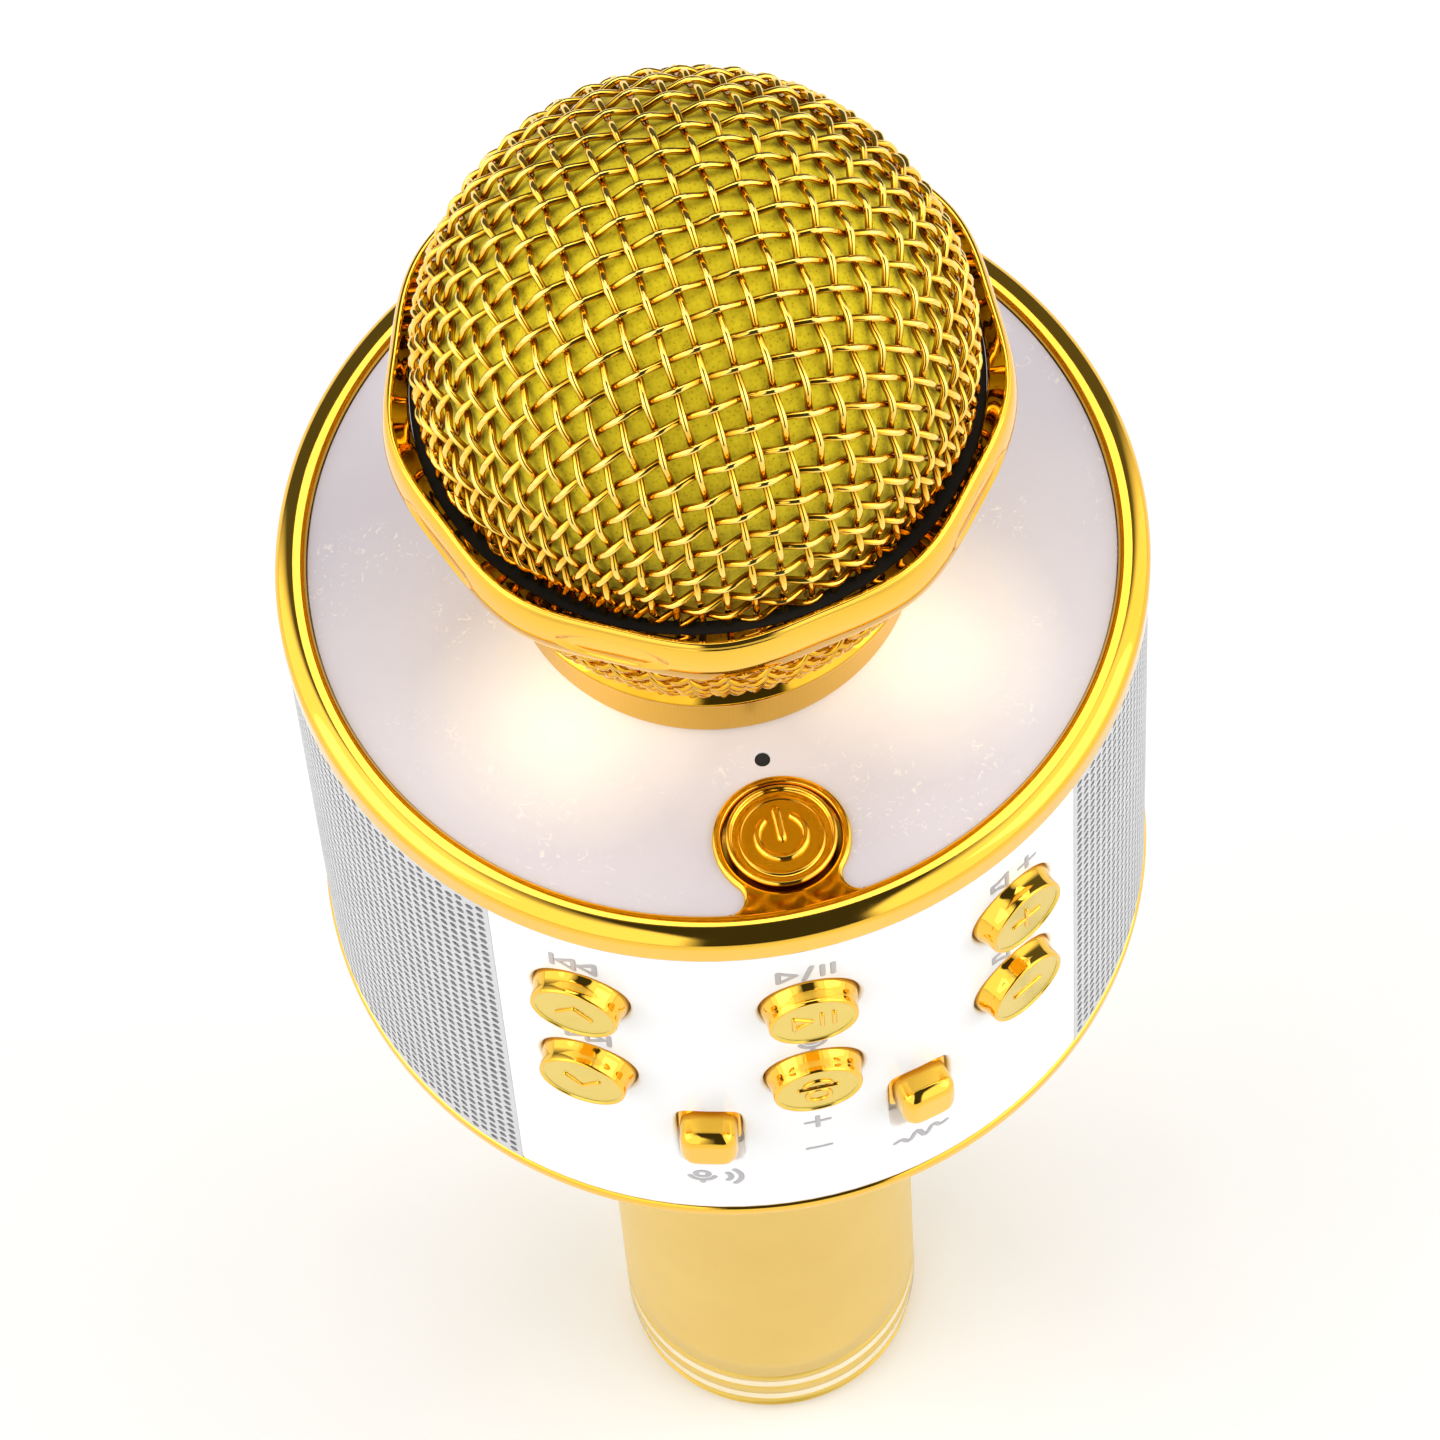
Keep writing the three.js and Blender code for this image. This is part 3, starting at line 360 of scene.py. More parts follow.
def plate(shape, outline, holes, low, high, warp, edge=0.0, hole_edge=None, step=0.0,
          steps=4, mark=0, fall=None):
    """A sheet between heights low and high, bent by warp(u, v, height), with rounded upper
    edges: edge on the outline, hole_edge on the holes. Holes have to be convex."""
    outline = outline if area(outline) > 0 else outline[::-1]
    holes = [h[::-1] if area(h) > 0 else h for h in holes]
    hole_edge = edge if hole_edge is None else hole_edge
    loops = [(outline, edge)] + [(h, hole_edge) for h in holes]
    grid = []
    if step:
        us, vs = [p[0] for p in outline], [p[1] for p in outline]
        columns = int((max(us) - min(us)) / step)
        rows = int((max(vs) - min(vs)) / step)
        for i in range(1, columns):
            for j in range(1, rows):
                at = (min(us) + (max(us) - min(us)) * i / columns,
                      min(vs) + (max(vs) - min(vs)) * j / rows)
                near = edge + 0.4 * step
                if not within(at, inset(outline, near)):
                    continue
                if any(within(at, inset(h, hole_edge + 0.3 * step)) for h in holes):
                    continue
                grid.append(at)
    top = [inset(loop, e) if e else loop for loop, e in loops]
    for height, group, flip in ((high, top, False), (low, [l for l, _ in loops], True)):
        points, faces = filled(group[0], group[1:], grid)
        shape.add([warp(u, v, height) for u, v in points],
                  [f[::-1] for f in faces] if flip else faces, [mark] * len(faces))
    for loop, e in loops:
        rows = []
        drop = min(e if fall is None else fall, high - low)
        for s in range(steps + 1 if e else 1):
            a = math.pi / 2 * s / steps
            shift = e * (1 - math.sin(a))
            height = high - drop * (1 - math.cos(a)) if e else high
            rows.append([warp(u, v, height) for u, v in (inset(loop, shift) if shift > 1e-9 else loop)])
        rows.append([warp(u, v, low) for u, v in loop])
        shape.skin(rows[::-1], mark, ends=False)


def bead(shape, points, outward, width, height, sides=10):
    """A raised stroke with round ends: width across and height along outward(point)."""
    path = [Vector(p) for p in points]
    last = len(path) - 1
    rows = []
    for i, p in enumerate(path):
        along = (path[min(i + 1, last)] - path[max(i - 1, 0)]).normalized()
        side = along.cross(Vector(outward(p)).normalized()).normalized()
        up = side.cross(along).normalized()
        rows.append([p + side * (math.cos(a) * width / 2) + up * (math.sin(a) * height)
                     for a in (2 * math.pi * s / sides for s in range(sides))])

    def cap(end, inner):
        along = (path[end] - path[inner]).normalized()
        return [[path[end] + along * (width / 2 * s) + (q - path[end]) * math.sqrt(1 - s * s)
                 for q in rows[end]] for s in (0.45, 0.8, 0.97)]

    shape.skin(cap(0, 1)[::-1] + rows + cap(last, last - 1))


def thread(shape, path, outward, radius, sides=7):
    """A round wire along a path on a surface whose normals are outward."""
    rows = []
    for i, p in enumerate(path):
        along = (path[min(i + 1, len(path) - 1)] - path[max(i - 1, 0)]).normalized()
        side = along.cross(outward[i]).normalized()
        up = side.cross(along)
        rows.append([p + side * (math.cos(a) * radius) + up * (math.sin(a) * radius)
                     for a in (2 * math.pi * s / sides for s in range(sides))])
    shape.skin(rows)


# ------------------------------------------------------------------ materials

def tree_of(name):
    material = bpy.data.materials.new(name)
    material.use_nodes = True
    tree = material.node_tree
    return material, tree, tree.nodes["Principled BSDF"]


def fill(made, values):
    """Sets a node's inputs. An output of another node is linked, anything else is a constant."""
    for key, value in values.items():
        socket = made.inputs[key]
        if isinstance(value, bpy.types.NodeSocket):
            socket.id_data.links.new(value, socket)
        else:
            socket.default_value = value


def node(tree, kind, **settings):
    made = tree.nodes.new(kind)
    for key, value in settings.items():
        if key not in made.inputs:
            setattr(made, key, value)
    fill(made, {key: value for key, value in settings.items() if key in made.inputs})
    return made


def combine(tree, operation, a, b):
    made = node(tree, "ShaderNodeMath", operation=operation)
    fill(made, {0: a, 1: b})
    return made.outputs[0]


def coordinates(tree, stretch=(1, 1, 1)):
    at = node(tree, "ShaderNodeTexCoord").outputs["Object"]
    return node(tree, "ShaderNodeMapping", Vector=at, Scale=stretch).outputs["Vector"]


def clouds(tree, at, scale, detail=3.0, roughness=0.5, distortion=0.0):
    """Noise from 0 to 1; scale is in cells per metre."""
    return node(tree, "ShaderNodeTexNoise", Vector=at, Scale=scale, Detail=detail,
                Roughness=roughness, Distortion=distortion).outputs["Fac"]


def ramp_of(tree, value, stops):
    ramp = node(tree, "ShaderNodeValToRGB", Fac=value)
    elements = ramp.color_ramp.elements
    while len(elements) < len(stops):
        elements.new(0.5)
    for element, (position, colour) in zip(elements, stops):
        element.position = position
        element.color = (*colour, 1)
    return ramp.outputs["Color"]


def remap(tree, value, low, high, start=0.0, end=1.0):
    """Values from start to end become low to high."""
    scaled = node(tree, "ShaderNodeMapRange", Value=value)
    fill(scaled, {"From Min": start, "From Max": end, "To Min": low, "To Max": high})
    return scaled.outputs["Result"]


def bump(tree, shader, height, strength, distance):
    raised = node(tree, "ShaderNodeBump", Height=height, Strength=strength, Distance=distance * MM)
    fill(shader, {"Normal": raised.outputs["Normal"]})


def finish(name, dark, light, rough, metallic=0.0, grain=900.0, stretch=(1, 1, 1), relief=0.0,
           depth=0.02, coat=0.0, blotch=60.0, detail=4.0, specular=0.5):
    """A moulded, plated or painted finish: two close colours in broad blotches, roughness that
    follows a fine grain, and the grain as relief."""
    material, tree, shader = tree_of(name)
    at = coordinates(tree, stretch)
    broad = clouds(tree, at, blotch, 3.0, 0.6)
    fine = clouds(tree, at, grain, detail, 0.65)
    fill(shader, {"Base Color": ramp_of(tree, broad, [(0.3, dark), (0.7, light)]),
                  "Roughness": remap(tree, fine, rough[0], rough[1], 0.3, 0.7),
                  "Metallic": metallic, "Specular IOR Level": specular,
                  "Coat Weight": coat, "Coat Roughness": 0.04})
    if relief:
        bump(tree, shader, fine, relief, depth)
    return material


def distance_from(tree, at, place):
    """Distance in metres from a place in millimetres."""
    away = node(tree, "ShaderNodeVectorMath", operation="DISTANCE")
    fill(away, {0: at, 1: [c * MM for c in place]})
    return away.outputs["Value"]


def painted_shade_dome_finish():
    """Plated wire with painted shade and highlight: darker on the flanks and dips that lie nearer the
    middle of the ball, paler on the outermost crowns.
    """
    material, tree, shader = tree_of("dome_gold_painted_shade")
    at = coordinates(tree)
    out = distance_from(tree, at, (0, 0, BALL_CENTRE))
    depth = remap(tree, out, 0, 1, (BALL - 1.45) * MM, BALL * MM)
    # Painted shade and highlight: dark brown deep in the weave, pale gold on the outermost crowns.
    colour = ramp_of(tree, depth, [(0.0, (0.07, 0.022, 0.001)), (0.40, (0.34, 0.15, 0.005)),
                                   (0.60, (0.84, 0.47, 0.035)), (0.85, (1.0, 0.68, 0.12)),
                                   (1.0, (1.0, 0.74, 0.20))])
    rough = remap(tree, clouds(tree, at, 1500.0, 4.0), 0.04, 0.09)
    fill(shader, {"Base Color": colour, "Roughness": rough, "Metallic": 1.0})
    return material


def foam_finish():
    """Open-cell foam: dark pores between pale walls, slightly uneven in tint."""
    material, tree, shader = tree_of("open_cell_foam")
    at = coordinates(tree)
    cells = node(tree, "ShaderNodeTexVoronoi", Vector=at, Scale=2700.0, Randomness=1.0)
    crumbs = clouds(tree, at, 3800.0, 4.0, 0.7)
    mixed = combine(tree, "MULTIPLY", cells.outputs["Distance"], crumbs)
    pores = ramp_of(tree, mixed, [(0.02, (0.30, 0.21, 0.003)), (0.10, (0.88, 0.68, 0.010)),
                                  (0.40, (1.0, 0.81, 0.022))])
    tint = ramp_of(tree, clouds(tree, at, 90.0), [(0.3, (0.84, 0.84, 0.8)), (0.7, (1, 1, 1))])
    both = node(tree, "ShaderNodeMixRGB", blend_type="MULTIPLY", Fac=1.0, Color1=pores, Color2=tint)
    fill(shader, {"Base Color": both.outputs[0], "Roughness": 0.9, "Specular IOR Level": 0.2,
                  "Sheen Weight": 0.2})
    bump(tree, shader, mixed, 0.7, 0.06)
    return material


# Painted light: the lamps reach the plate only as a warm glow painted in its emission, fading with
# distance from each lamp.
GLOW_REACH = 30.0  # how far a lamp's light spreads in the plate
GLOW_STRENGTH = 0.70
GLOW_FADE = [(0.10, 1.0), (0.28, 0.60), (0.50, 0.22), (1.0, 0.0)]


def plate_finish(lights):
    """Milky plastic with faint flow marks, and the light of the small lamps beneath painted on it as a
    warm glow in its emission.
    """
    material, tree, shader = tree_of("milky_plate")
    at = coordinates(tree)
    broad = clouds(tree, at, 45.0, 5.0, 0.7)
    base = ramp_of(tree, broad, [(0.25, (0.61, 0.575, 0.655)), (0.75, (0.675, 0.64, 0.715))])
    speck = ramp_of(tree, clouds(tree, at, 1100.0, distortion=1.5), [(0.60, (0, 0, 0)), (0.68, (1, 1, 1))])
    patches = ramp_of(tree, clouds(tree, at, 110.0), [(0.50, (0, 0, 0)), (0.62, (0.8, 0.8, 0.8))])
    marked = node(tree, "ShaderNodeMixRGB", Fac=combine(tree, "MULTIPLY", speck, patches),
                  Color1=base, Color2=(0.86, 0.80, 0.80, 1))
    painted_glow = None
    for lamp in lights:
        away = remap(tree, distance_from(tree, at, lamp), 0, 1, 0, GLOW_REACH * MM)
        near = ramp_of(tree, away, [(t, (v, v, v)) for t, v in GLOW_FADE])
        painted_glow = combine(tree, "ADD", painted_glow, near) if painted_glow else near
    fill(shader, {"Base Color": marked.outputs[0], "Roughness": 0.32, "Coat Weight": 0.25,
                  "Coat Roughness": 0.2, "Emission Color": (1.0, 0.88, 0.62, 1),
                  "Emission Strength": combine(tree, "MULTIPLY", painted_glow, GLOW_STRENGTH)})
    bump(tree, shader, broad, 0.1, 0.05)
    return material


def board_finish():
    material, tree, shader = tree_of("circuit_board")
    tracks = node(tree, "ShaderNodeTexBrick", Vector=coordinates(tree), Scale=260.0,
                  Color1=(0.010, 0.060, 0.022, 1), Color2=(0.014, 0.085, 0.030, 1),
                  Mortar=(0.05, 0.16, 0.06, 1))
    fill(shader, {"Base Color": tracks.outputs["Color"], "Roughness": 0.35, "Coat Weight": 0.4})
    bump(tree, shader, tracks.outputs["Fac"], 0.3, 0.03)
    return material


def lamp_finish():
    material, tree, shader = tree_of("lit_lamp")
    cloud = clouds(tree, coordinates(tree), 700.0, 2.0)
    colour = ramp_of(tree, cloud, [(0.3, (1.0, 0.62, 0.22)), (0.7, (1.0, 0.78, 0.42))])
    fill(shader, {"Base Color": colour, "Emission Color": colour, "Emission Strength": 3.0,
                  "Roughness": 0.4})
    return material


def brushed_finish():
    """Satin gold with fine upright brushing."""
    material, tree, shader = tree_of("brushed_gold")
    turn = node(tree, "ShaderNodeTexGradient", gradient_type="RADIAL", Vector=coordinates(tree))
    spread = combine(tree, "MULTIPLY", turn.outputs["Fac"], 1400.0)
    lines = node(tree, "ShaderNodeTexNoise", noise_dimensions="1D", W=spread, Scale=1.0,
                 Detail=3.0).outputs["Fac"]
    colour = ramp_of(tree, lines, [(0.25, (0.70, 0.40, 0.035)), (0.75, (0.78, 0.48, 0.055))])
    fill(shader, {"Base Color": colour, "Roughness": remap(tree, lines, 0.24, 0.42),
                  "Metallic": 0.9})
    bump(tree, shader, lines, 0.25, 0.04)
    return material


BRIGHT_GOLD = finish("bright_gold", (0.88, 0.50, 0.045), (0.95, 0.57, 0.07), (0.04, 0.09), 1.0,
                     grain=500, relief=0.03, depth=0.01, blotch=25)
FACE_GOLD = finish("face_gold", (0.76, 0.56, 0.10), (0.80, 0.60, 0.13), (0.16, 0.22), 1.0,
                   grain=6000, relief=0.01, depth=0.005)
WIRE_GOLD = finish("wire_gold", (0.70, 0.37, 0.02), (0.88, 0.50, 0.045), (0.04, 0.08), 1.0,
                   grain=1500, relief=0.03, depth=0.01, blotch=120)
DOME_GOLD_PAINTED_SHADE = painted_shade_dome_finish()
SOFT_GOLD = finish("soft_gold", (0.78, 0.47, 0.02), (0.84, 0.52, 0.03), (0.22, 0.28), 1.0,
                   grain=2500, relief=0.03, depth=0.01)
SATIN_GOLD = finish("satin_gold", (0.72, 0.48, 0.075), (0.78, 0.54, 0.10), (0.36, 0.44), 0.45,
                    grain=5000, relief=0.10, depth=0.01, blotch=30, coat=0.15)
PALE_RING = finish("polished_ring", (0.88, 0.78, 0.55), (0.95, 0.86, 0.66), (0.14, 0.22), 0.8,
                   grain=1800, relief=0.05, depth=0.01)
BRUSHED_GOLD = brushed_finish()
WHITE_GLOSS = finish("white_gloss", (0.90, 0.90, 0.90), (0.93, 0.93, 0.93), (0.20, 0.26), 0.0,
                     grain=700, relief=0.02, depth=0.02, blotch=20, specular=0.4)
LABEL_GREY = finish("label_grey", (0.42, 0.40, 0.41), (0.50, 0.48, 0.49), (0.35, 0.45),
                    grain=3000, relief=0.05)
SILVER = finish("silver_mesh", (0.60, 0.60, 0.61), (0.66, 0.66, 0.67), (0.30, 0.42), 0.45,
                grain=3000, relief=0.12, depth=0.01, blotch=40)
BLACK = finish("black_plastic", (0.012, 0.012, 0.013), (0.022, 0.022, 0.024), (0.38, 0.55),
               grain=2200, relief=0.2, depth=0.03)
GREY = finish("grey_plastic", (0.20, 0.20, 0.21), (0.27, 0.27, 0.28), (0.42, 0.58),
              grain=2200, relief=0.2, depth=0.03)
RUBBER = finish("black_rubber", (0.014, 0.014, 0.014), (0.028, 0.028, 0.028), (0.65, 0.85),
                grain=3200, relief=0.3, depth=0.03, specular=0.3)
STEEL = finish("steel", (0.48, 0.48, 0.49), (0.62, 0.62, 0.63), (0.20, 0.36), 1.0,
               grain=1600, stretch=(1, 1, 0.1), relief=0.1, depth=0.01)
PAPER = finish("cone_paper", (0.030, 0.028, 0.026), (0.055, 0.052, 0.048), (0.75, 0.9),
               grain=1500, relief=0.5, depth=0.06, detail=6)
WRAP = finish("battery_wrap", (0.02, 0.10, 0.28), (0.03, 0.14, 0.36), (0.22, 0.34),
              grain=900, relief=0.06, coat=0.5)
BOARD = board_finish()
LAMP = lamp_finish()
FOAM_YELLOW = foam_finish()
MILKY = plate_finish([centre_of("light_" + place) for place in ("front_left", "front_right", "rear")])


# ------------------------------------------------------------------ handle and base

RING_HEIGHTS = (4.1, 7.6)  # the two polished rings, above the handle's end
RING_WIDTH = 1.4
RING_DEPTH = 0.22
CAP_GAP = 0.12  # seam between the end cap and the tube
END_RECESS = 0.5  # depth of the dish in the end face
HANDLE_WALL = 2


def handle_radius(z):
    """The handle's slight taper up to the drum's underside."""
    top = span("base_cover")[0].z
    return HANDLE_END + (HANDLE_TOP - HANDLE_END) * min(max(z / top, 0), 1)


def end_cap():
    shape = Shape()
    top = CAP_SEAM - CAP_GAP
    corners = [(HANDLE_END * 0.72, END_RECESS), (HANDLE_END * 0.76, 0.0), (HANDLE_END - 1.0, 0.0),
               (HANDLE_END - 0.05, 1.0)]
    profile = rounded(corners, [0.3, 0.3, 0.5, 0.5], 5)
    marks = [0] * len(profile)
    for z in RING_HEIGHTS:
        half = RING_WIDTH / 2
        for dz, dip in ((-half, 0), (-half * 0.55, RING_DEPTH), (0, RING_DEPTH * 1.05),
                        (half * 0.55, RING_DEPTH), (half, 0)):
            profile.append((handle_radius(z) - dip, z + dz))
            marks.append(1 if dz < half else 0)
    profile += [(handle_radius(top), top - 0.25), (handle_radius(top) - 0.25, top),
                (HANDLE_END - 2.2, top)]
    marks += [0] * 3
    profile = [(0.05, END_RECESS)] + profile + [(0.05, top)]
    marks = [0] + marks + [0]
    turned(shape, profile, 256, marks=marks)
    shape.piece("end_cap", [SATIN_GOLD, PALE_RING], "housing", "satin_gold", ["handle_end_cap"])


def handle():
    shape = Shape()
    bottom, top = CAP_SEAM, span("handle_tube")[1].z
    under = span("base_cover")[0].z
    inner = HANDLE_END - HANDLE_WALL
    profile = [(inner, bottom), (handle_radius(bottom) - 0.2, bottom),
               (handle_radius(bottom), bottom + 0.2)]
    levels = 24
    profile += [(handle_radius(bottom + (under - bottom) * i / levels),
                 bottom + (under - bottom) * i / levels) for i in range(1, levels + 1)]
    profile += [(HANDLE_TOP, top), (inner, top)]
    turned(shape, profile, 256)
    shape.piece("handle", [SATIN_GOLD], "housing", "satin_gold", ["handle_tube"])


def base_bezel():
    shape = Shape()
    inner = span("base_cover")[1].x + 0.3
    corners = [(inner, BASE_LOW), (DRUM, BASE_LOW), (DRUM, BASE_HIGH + 0.15), (inner, BASE_HIGH + 0.15)]
    turned(shape, rounded(corners, [0.3, 0.75, 0.5, 0.2], 6), 360)
    shape.piece("base_rim", [BRIGHT_GOLD], "housing", "bright_gold", ["base_bezel"])


# ------------------------------------------------------------------ drum walls

def curved(angle):
    """Bends a flat plate round the drum with its middle at angle. Height is the radius."""
    def warp(u, v, height):
        return spot(angle + math.degrees(u / WALL), height, v)
    return warp


def column(angle):
    """Distance round the wall from the front to an angle."""
    return math.radians(angle) * WALL


BUTTON_COLUMNS = {"left": -30.5, "middle": 0.0, "right": 30.5}
HOLE_RADIUS = 5.0
SLOT_ANGLE = 14.6  # from the front to either slider
SLOT_WIDTH, SLOT_HEIGHT = 6.6, 11.7
SLOT_Z = centre_of("slide_pot_effect").z
ROW_HIGH, ROW_LOW = centre_of("button_play").z, centre_of("button_microphone").z
WALL_SPAN = WALL_LOW - 0.15, WALL_HIGH + 0.2  # the walls reach into the bezels' seams
PANEL_THICK = 2
PANEL_STEP = 2.4  # between points on the panels


def rectangle(half_width, low, high, radius=0.6, steps=4, along=28):
    """Rounded rectangle with points close enough together to bend."""
    corners = [(-half_width, low), (half_width, low), (half_width, high), (-half_width, high)]
    loop = rounded(corners, radius, steps)
    dense = []
    for a, b in zip(loop, loop[1:] + loop[:1]):
        length = math.dist(a, b)
        pieces = max(1, int(length / (2 * half_width / along)))
        dense += [(a[0] + (b[0] - a[0]) * i / pieces, a[1] + (b[1] - a[1]) * i / pieces)
                  for i in range(pieces)]
    return dense


def front_panel():
    shape = Shape()
    holes = [ring(column(angle), z, HOLE_RADIUS, 64)
             for angle in BUTTON_COLUMNS.values() for z in (ROW_HIGH, ROW_LOW)]
    holes += [squircle(column(side * SLOT_ANGLE), SLOT_Z, SLOT_WIDTH, SLOT_HEIGHT, 7.0, 72)
              for side in (-1, 1)]
    plate(shape, rectangle(column(PANEL_HALF), *WALL_SPAN), holes, WALL - PANEL_THICK, WALL,
          curved(0), edge=0.3, hole_edge=0.35, step=PANEL_STEP)
    shape.piece("front_panel_shell", [WHITE_GLOSS], "housing", "white_gloss", ["front_panel"], flats=True)


PORTS = {"aux_jack": 0.15, "charge_port": 0.12, "card_slot": 0.12}  # gap round each port
SHELL = 0.45  # wall of the metal ports
PORT_DEEP, PORT_BACK, PORT_SUNK = 5.0, 4.2, 0.35  # depths of its end, its back wall and its lip


def port_place(name):
    """A port's middle and size, with the middle's X turned as seen from behind."""
    low, high = span(name)
    middle = (low + high) / 2
    return -middle.x, middle.z, high - low


def behind(u, v, depth):
    """Point under the rear wall at u across and v up, seen from behind."""
    return (-u, math.sqrt((WALL - depth) ** 2 - u * u), v)


def rear_panel():
    shape = Shape()
    holes = []
    for name, gap in PORTS.items():
        u, v, size = port_place(name)
        loop = (ring(u, v, size.x / 2 + gap) if name == "aux_jack" else
                lane(u, v, size.x + 2 * gap, size.z + 2 * gap, 48))
        holes.append([(WALL * math.asin(x / WALL), y) for x, y in loop])
    plate(shape, rectangle(column(PANEL_HALF), *WALL_SPAN), holes, PANEL_THICK, 0.0,
          lambda u, v, depth: behind(WALL * math.sin(u / WALL), v, depth),
          edge=0.3, step=PANEL_STEP, fall=-0.3)
    shape.piece("rear_panel_shell", [WHITE_GLOSS], "housing", "white_gloss", ["rear_panel"], flats=True)


def port(name, tongue):
    """A metal mouth that follows the curve of the rear panel, with a dark back."""
    shape = Shape()
    u, v, size = port_place(name)
    mouth = lane(u, v, size.x - 2 * SHELL, size.z - 2 * SHELL, 48)
    plate(shape, lane(u, v, size.x, size.z, 48), [mouth], PORT_DEEP, PORT_SUNK, behind)
    plate(shape, mouth, [], PORT_DEEP, PORT_BACK, behind, mark=1)
    if tongue:
        plate(shape, lane(u, v, size.x - 2.4, 0.7, 32), [], 4.3, 1.2, behind, mark=1)
    shape.piece(name + "_mouth", [STEEL, BLACK], "housing", "steel", [name])


HOLE_PITCH = 1.38  # between neighbouring holes in the speaker grilles
HOLE_ACROSS = 0.98
GRILLE_MARGIN = 0.9  # plain edge round the holes
GRILLE_THICK = 0.8


def speaker_grille(side):
    shape = Shape()
    half = column(GRILLE_HALF)
    low, high = WALL_SPAN
    pitch_u, pitch_v = HOLE_PITCH * math.cos(math.pi / 6), HOLE_PITCH
    columns = int((half - GRILLE_MARGIN) / pitch_u)
    rows = int(((high - low) / 2 - GRILLE_MARGIN) / pitch_v)
    middle = (low + high) / 2
    holes = []
    for i in range(-columns, columns + 1):
        for j in range(-rows, rows + 1):
            z = middle + (j + (0.5 if i % 2 else 0)) * pitch_v
            if z > high - GRILLE_MARGIN:
                continue
            holes.append([(i * pitch_u + HOLE_ACROSS / 2 * math.cos(math.pi * k / 3),
                           z + HOLE_ACROSS / 2 * math.sin(math.pi * k / 3)) for k in range(6)])
    plate(shape, rectangle(half, low, high, 0.3, 2, 60), holes, WALL - GRILLE_THICK, WALL,
          curved(90 * side), steps=1)
    name = "left" if side < 0 else "right"
    shape.piece("perforated_grille_" + name, [SILVER], "housing", "silver_mesh",
                ["speaker_grille_" + name], smooth=False)


# ------------------------------------------------------------------ top of the drum

LOBE = 6.6  # radius of the bezel's ring round the power button
WELL = 5.65  # radius of the hole in it
LOBE_FILLET = 1.6
RING_INNER = span("top_plate")[1].x + 0.3
CROWN_RADIUS = RING_INNER + 0.75  # where the bezel is highest
CROWN_DROP = 1.7  # from there down to its widest line


def upright(u, v, height):
    return (u, v, height)


def lobe_outline():
    """The ring round the power button and the neck that joins it to the bezel."""
    away = -POWER_AT
    centre = RING_INNER - LOBE_FILLET
    theta = math.acos((away ** 2 + centre ** 2 - (LOBE + LOBE_FILLET) ** 2) / (2 * away * centre))
    fillet = (centre * math.sin(theta), -centre * math.cos(theta))
    start = math.atan2(POWER_AT - fillet[1], -fillet[0])
    end = math.atan2(fillet[1], fillet[0])
    right = arc(*fillet, LOBE_FILLET, *(math.degrees(a) % 360 for a in (start, end)))
    touch = math.degrees(math.atan2(right[0][1] - POWER_AT, right[0][0]))
    round_button = arc(0, POWER_AT, LOBE, touch, 180 - touch, 56)[1:-1]
    under = [spot(math.degrees(theta) * t, RING_INNER + 0.9, 0)[:2]
             for t in (-1, -0.6, -0.2, 0.2, 0.6, 1)]
    left = [(-x, y) for x, y in right]
    return under + right[::-1] + round_button + left


def top_bezel():
    shape = Shape()
    low, top = BEZEL_FOOT - 0.15, BEZEL_TOP
    crown = [(CROWN_RADIUS + (DRUM - CROWN_RADIUS) * math.sin(t * math.pi / 40),
              top - CROWN_DROP * (1 - math.cos(t * math.pi / 40))) for t in range(21)]
    inside = [(RING_INNER, PLATE_TOP - 1)]
    inside += [(RING_INNER + (CROWN_RADIUS - RING_INNER) * (1 - math.cos(t * math.pi / 16)),
                top - 0.75 * (1 - math.sin(t * math.pi / 16))) for t in range(8)]
    foot = [(DRUM, low + 0.5), (DRUM - 0.08, low + 0.2), (DRUM - 0.35, low), (DRUM - 2.6, low),
            (DRUM - 2.6, PLATE_TOP - 1)]
    turned(shape, inside + crown + foot, 480)
    plate(shape, lobe_outline(), [ring(0, POWER_AT, WELL, 72)], PLATE_TOP - 1.2, top - 0.25, upright,
          edge=0.42, hole_edge=0.42, steps=6)
    shape.piece("upper_bezel", [BRIGHT_GOLD], "housing", "bright_gold", ["top_bezel"], flats=True)


NECK_HOLE = 17.3  # radius
PINHOLE = (0, -(COLLAR + 3.3))
PINHOLE_RADIUS = 0.75


def top_plate():
    shape = Shape()
    holes = [ring(0, 0, NECK_HOLE, 120), ring(0, POWER_AT, WELL + 0.55, 72),
             ring(*PINHOLE, PINHOLE_RADIUS, 32)]
    plate(shape, ring(0, 0, RING_INNER - 0.1, 240), holes, PLATE_LOW, PLATE_TOP, upright,
          edge=0.05, hole_edge=0.12, step=4.0)
    under = Shape()
    cup = [(0.1, PLATE_LOW - 1.1), (1.6, PLATE_LOW - 1.1), (1.6, PLATE_LOW - 0.05),
           (PINHOLE_RADIUS - 0.03, PLATE_LOW - 0.05), (PINHOLE_RADIUS - 0.03, PLATE_TOP - 0.18),
           (0.55, PLATE_TOP - 0.25), (0.1, PLATE_TOP - 0.3)]
    turned(under, cup, 40, centre=PINHOLE, wrap=False)
    under.piece("pinhole_cup", [RUBBER], "housing", "black_rubber")
    shape.piece("milky_top_plate", [MILKY], "housing", "frosted_plate", ["top_plate"], flats=True)


FACE_DROP = 0.42  # from the power button's rim down to its face
SYMBOL_RADIUS = 2.3
SYMBOL_OPENING = 38  # degrees from the top of the symbol to either end of its ring


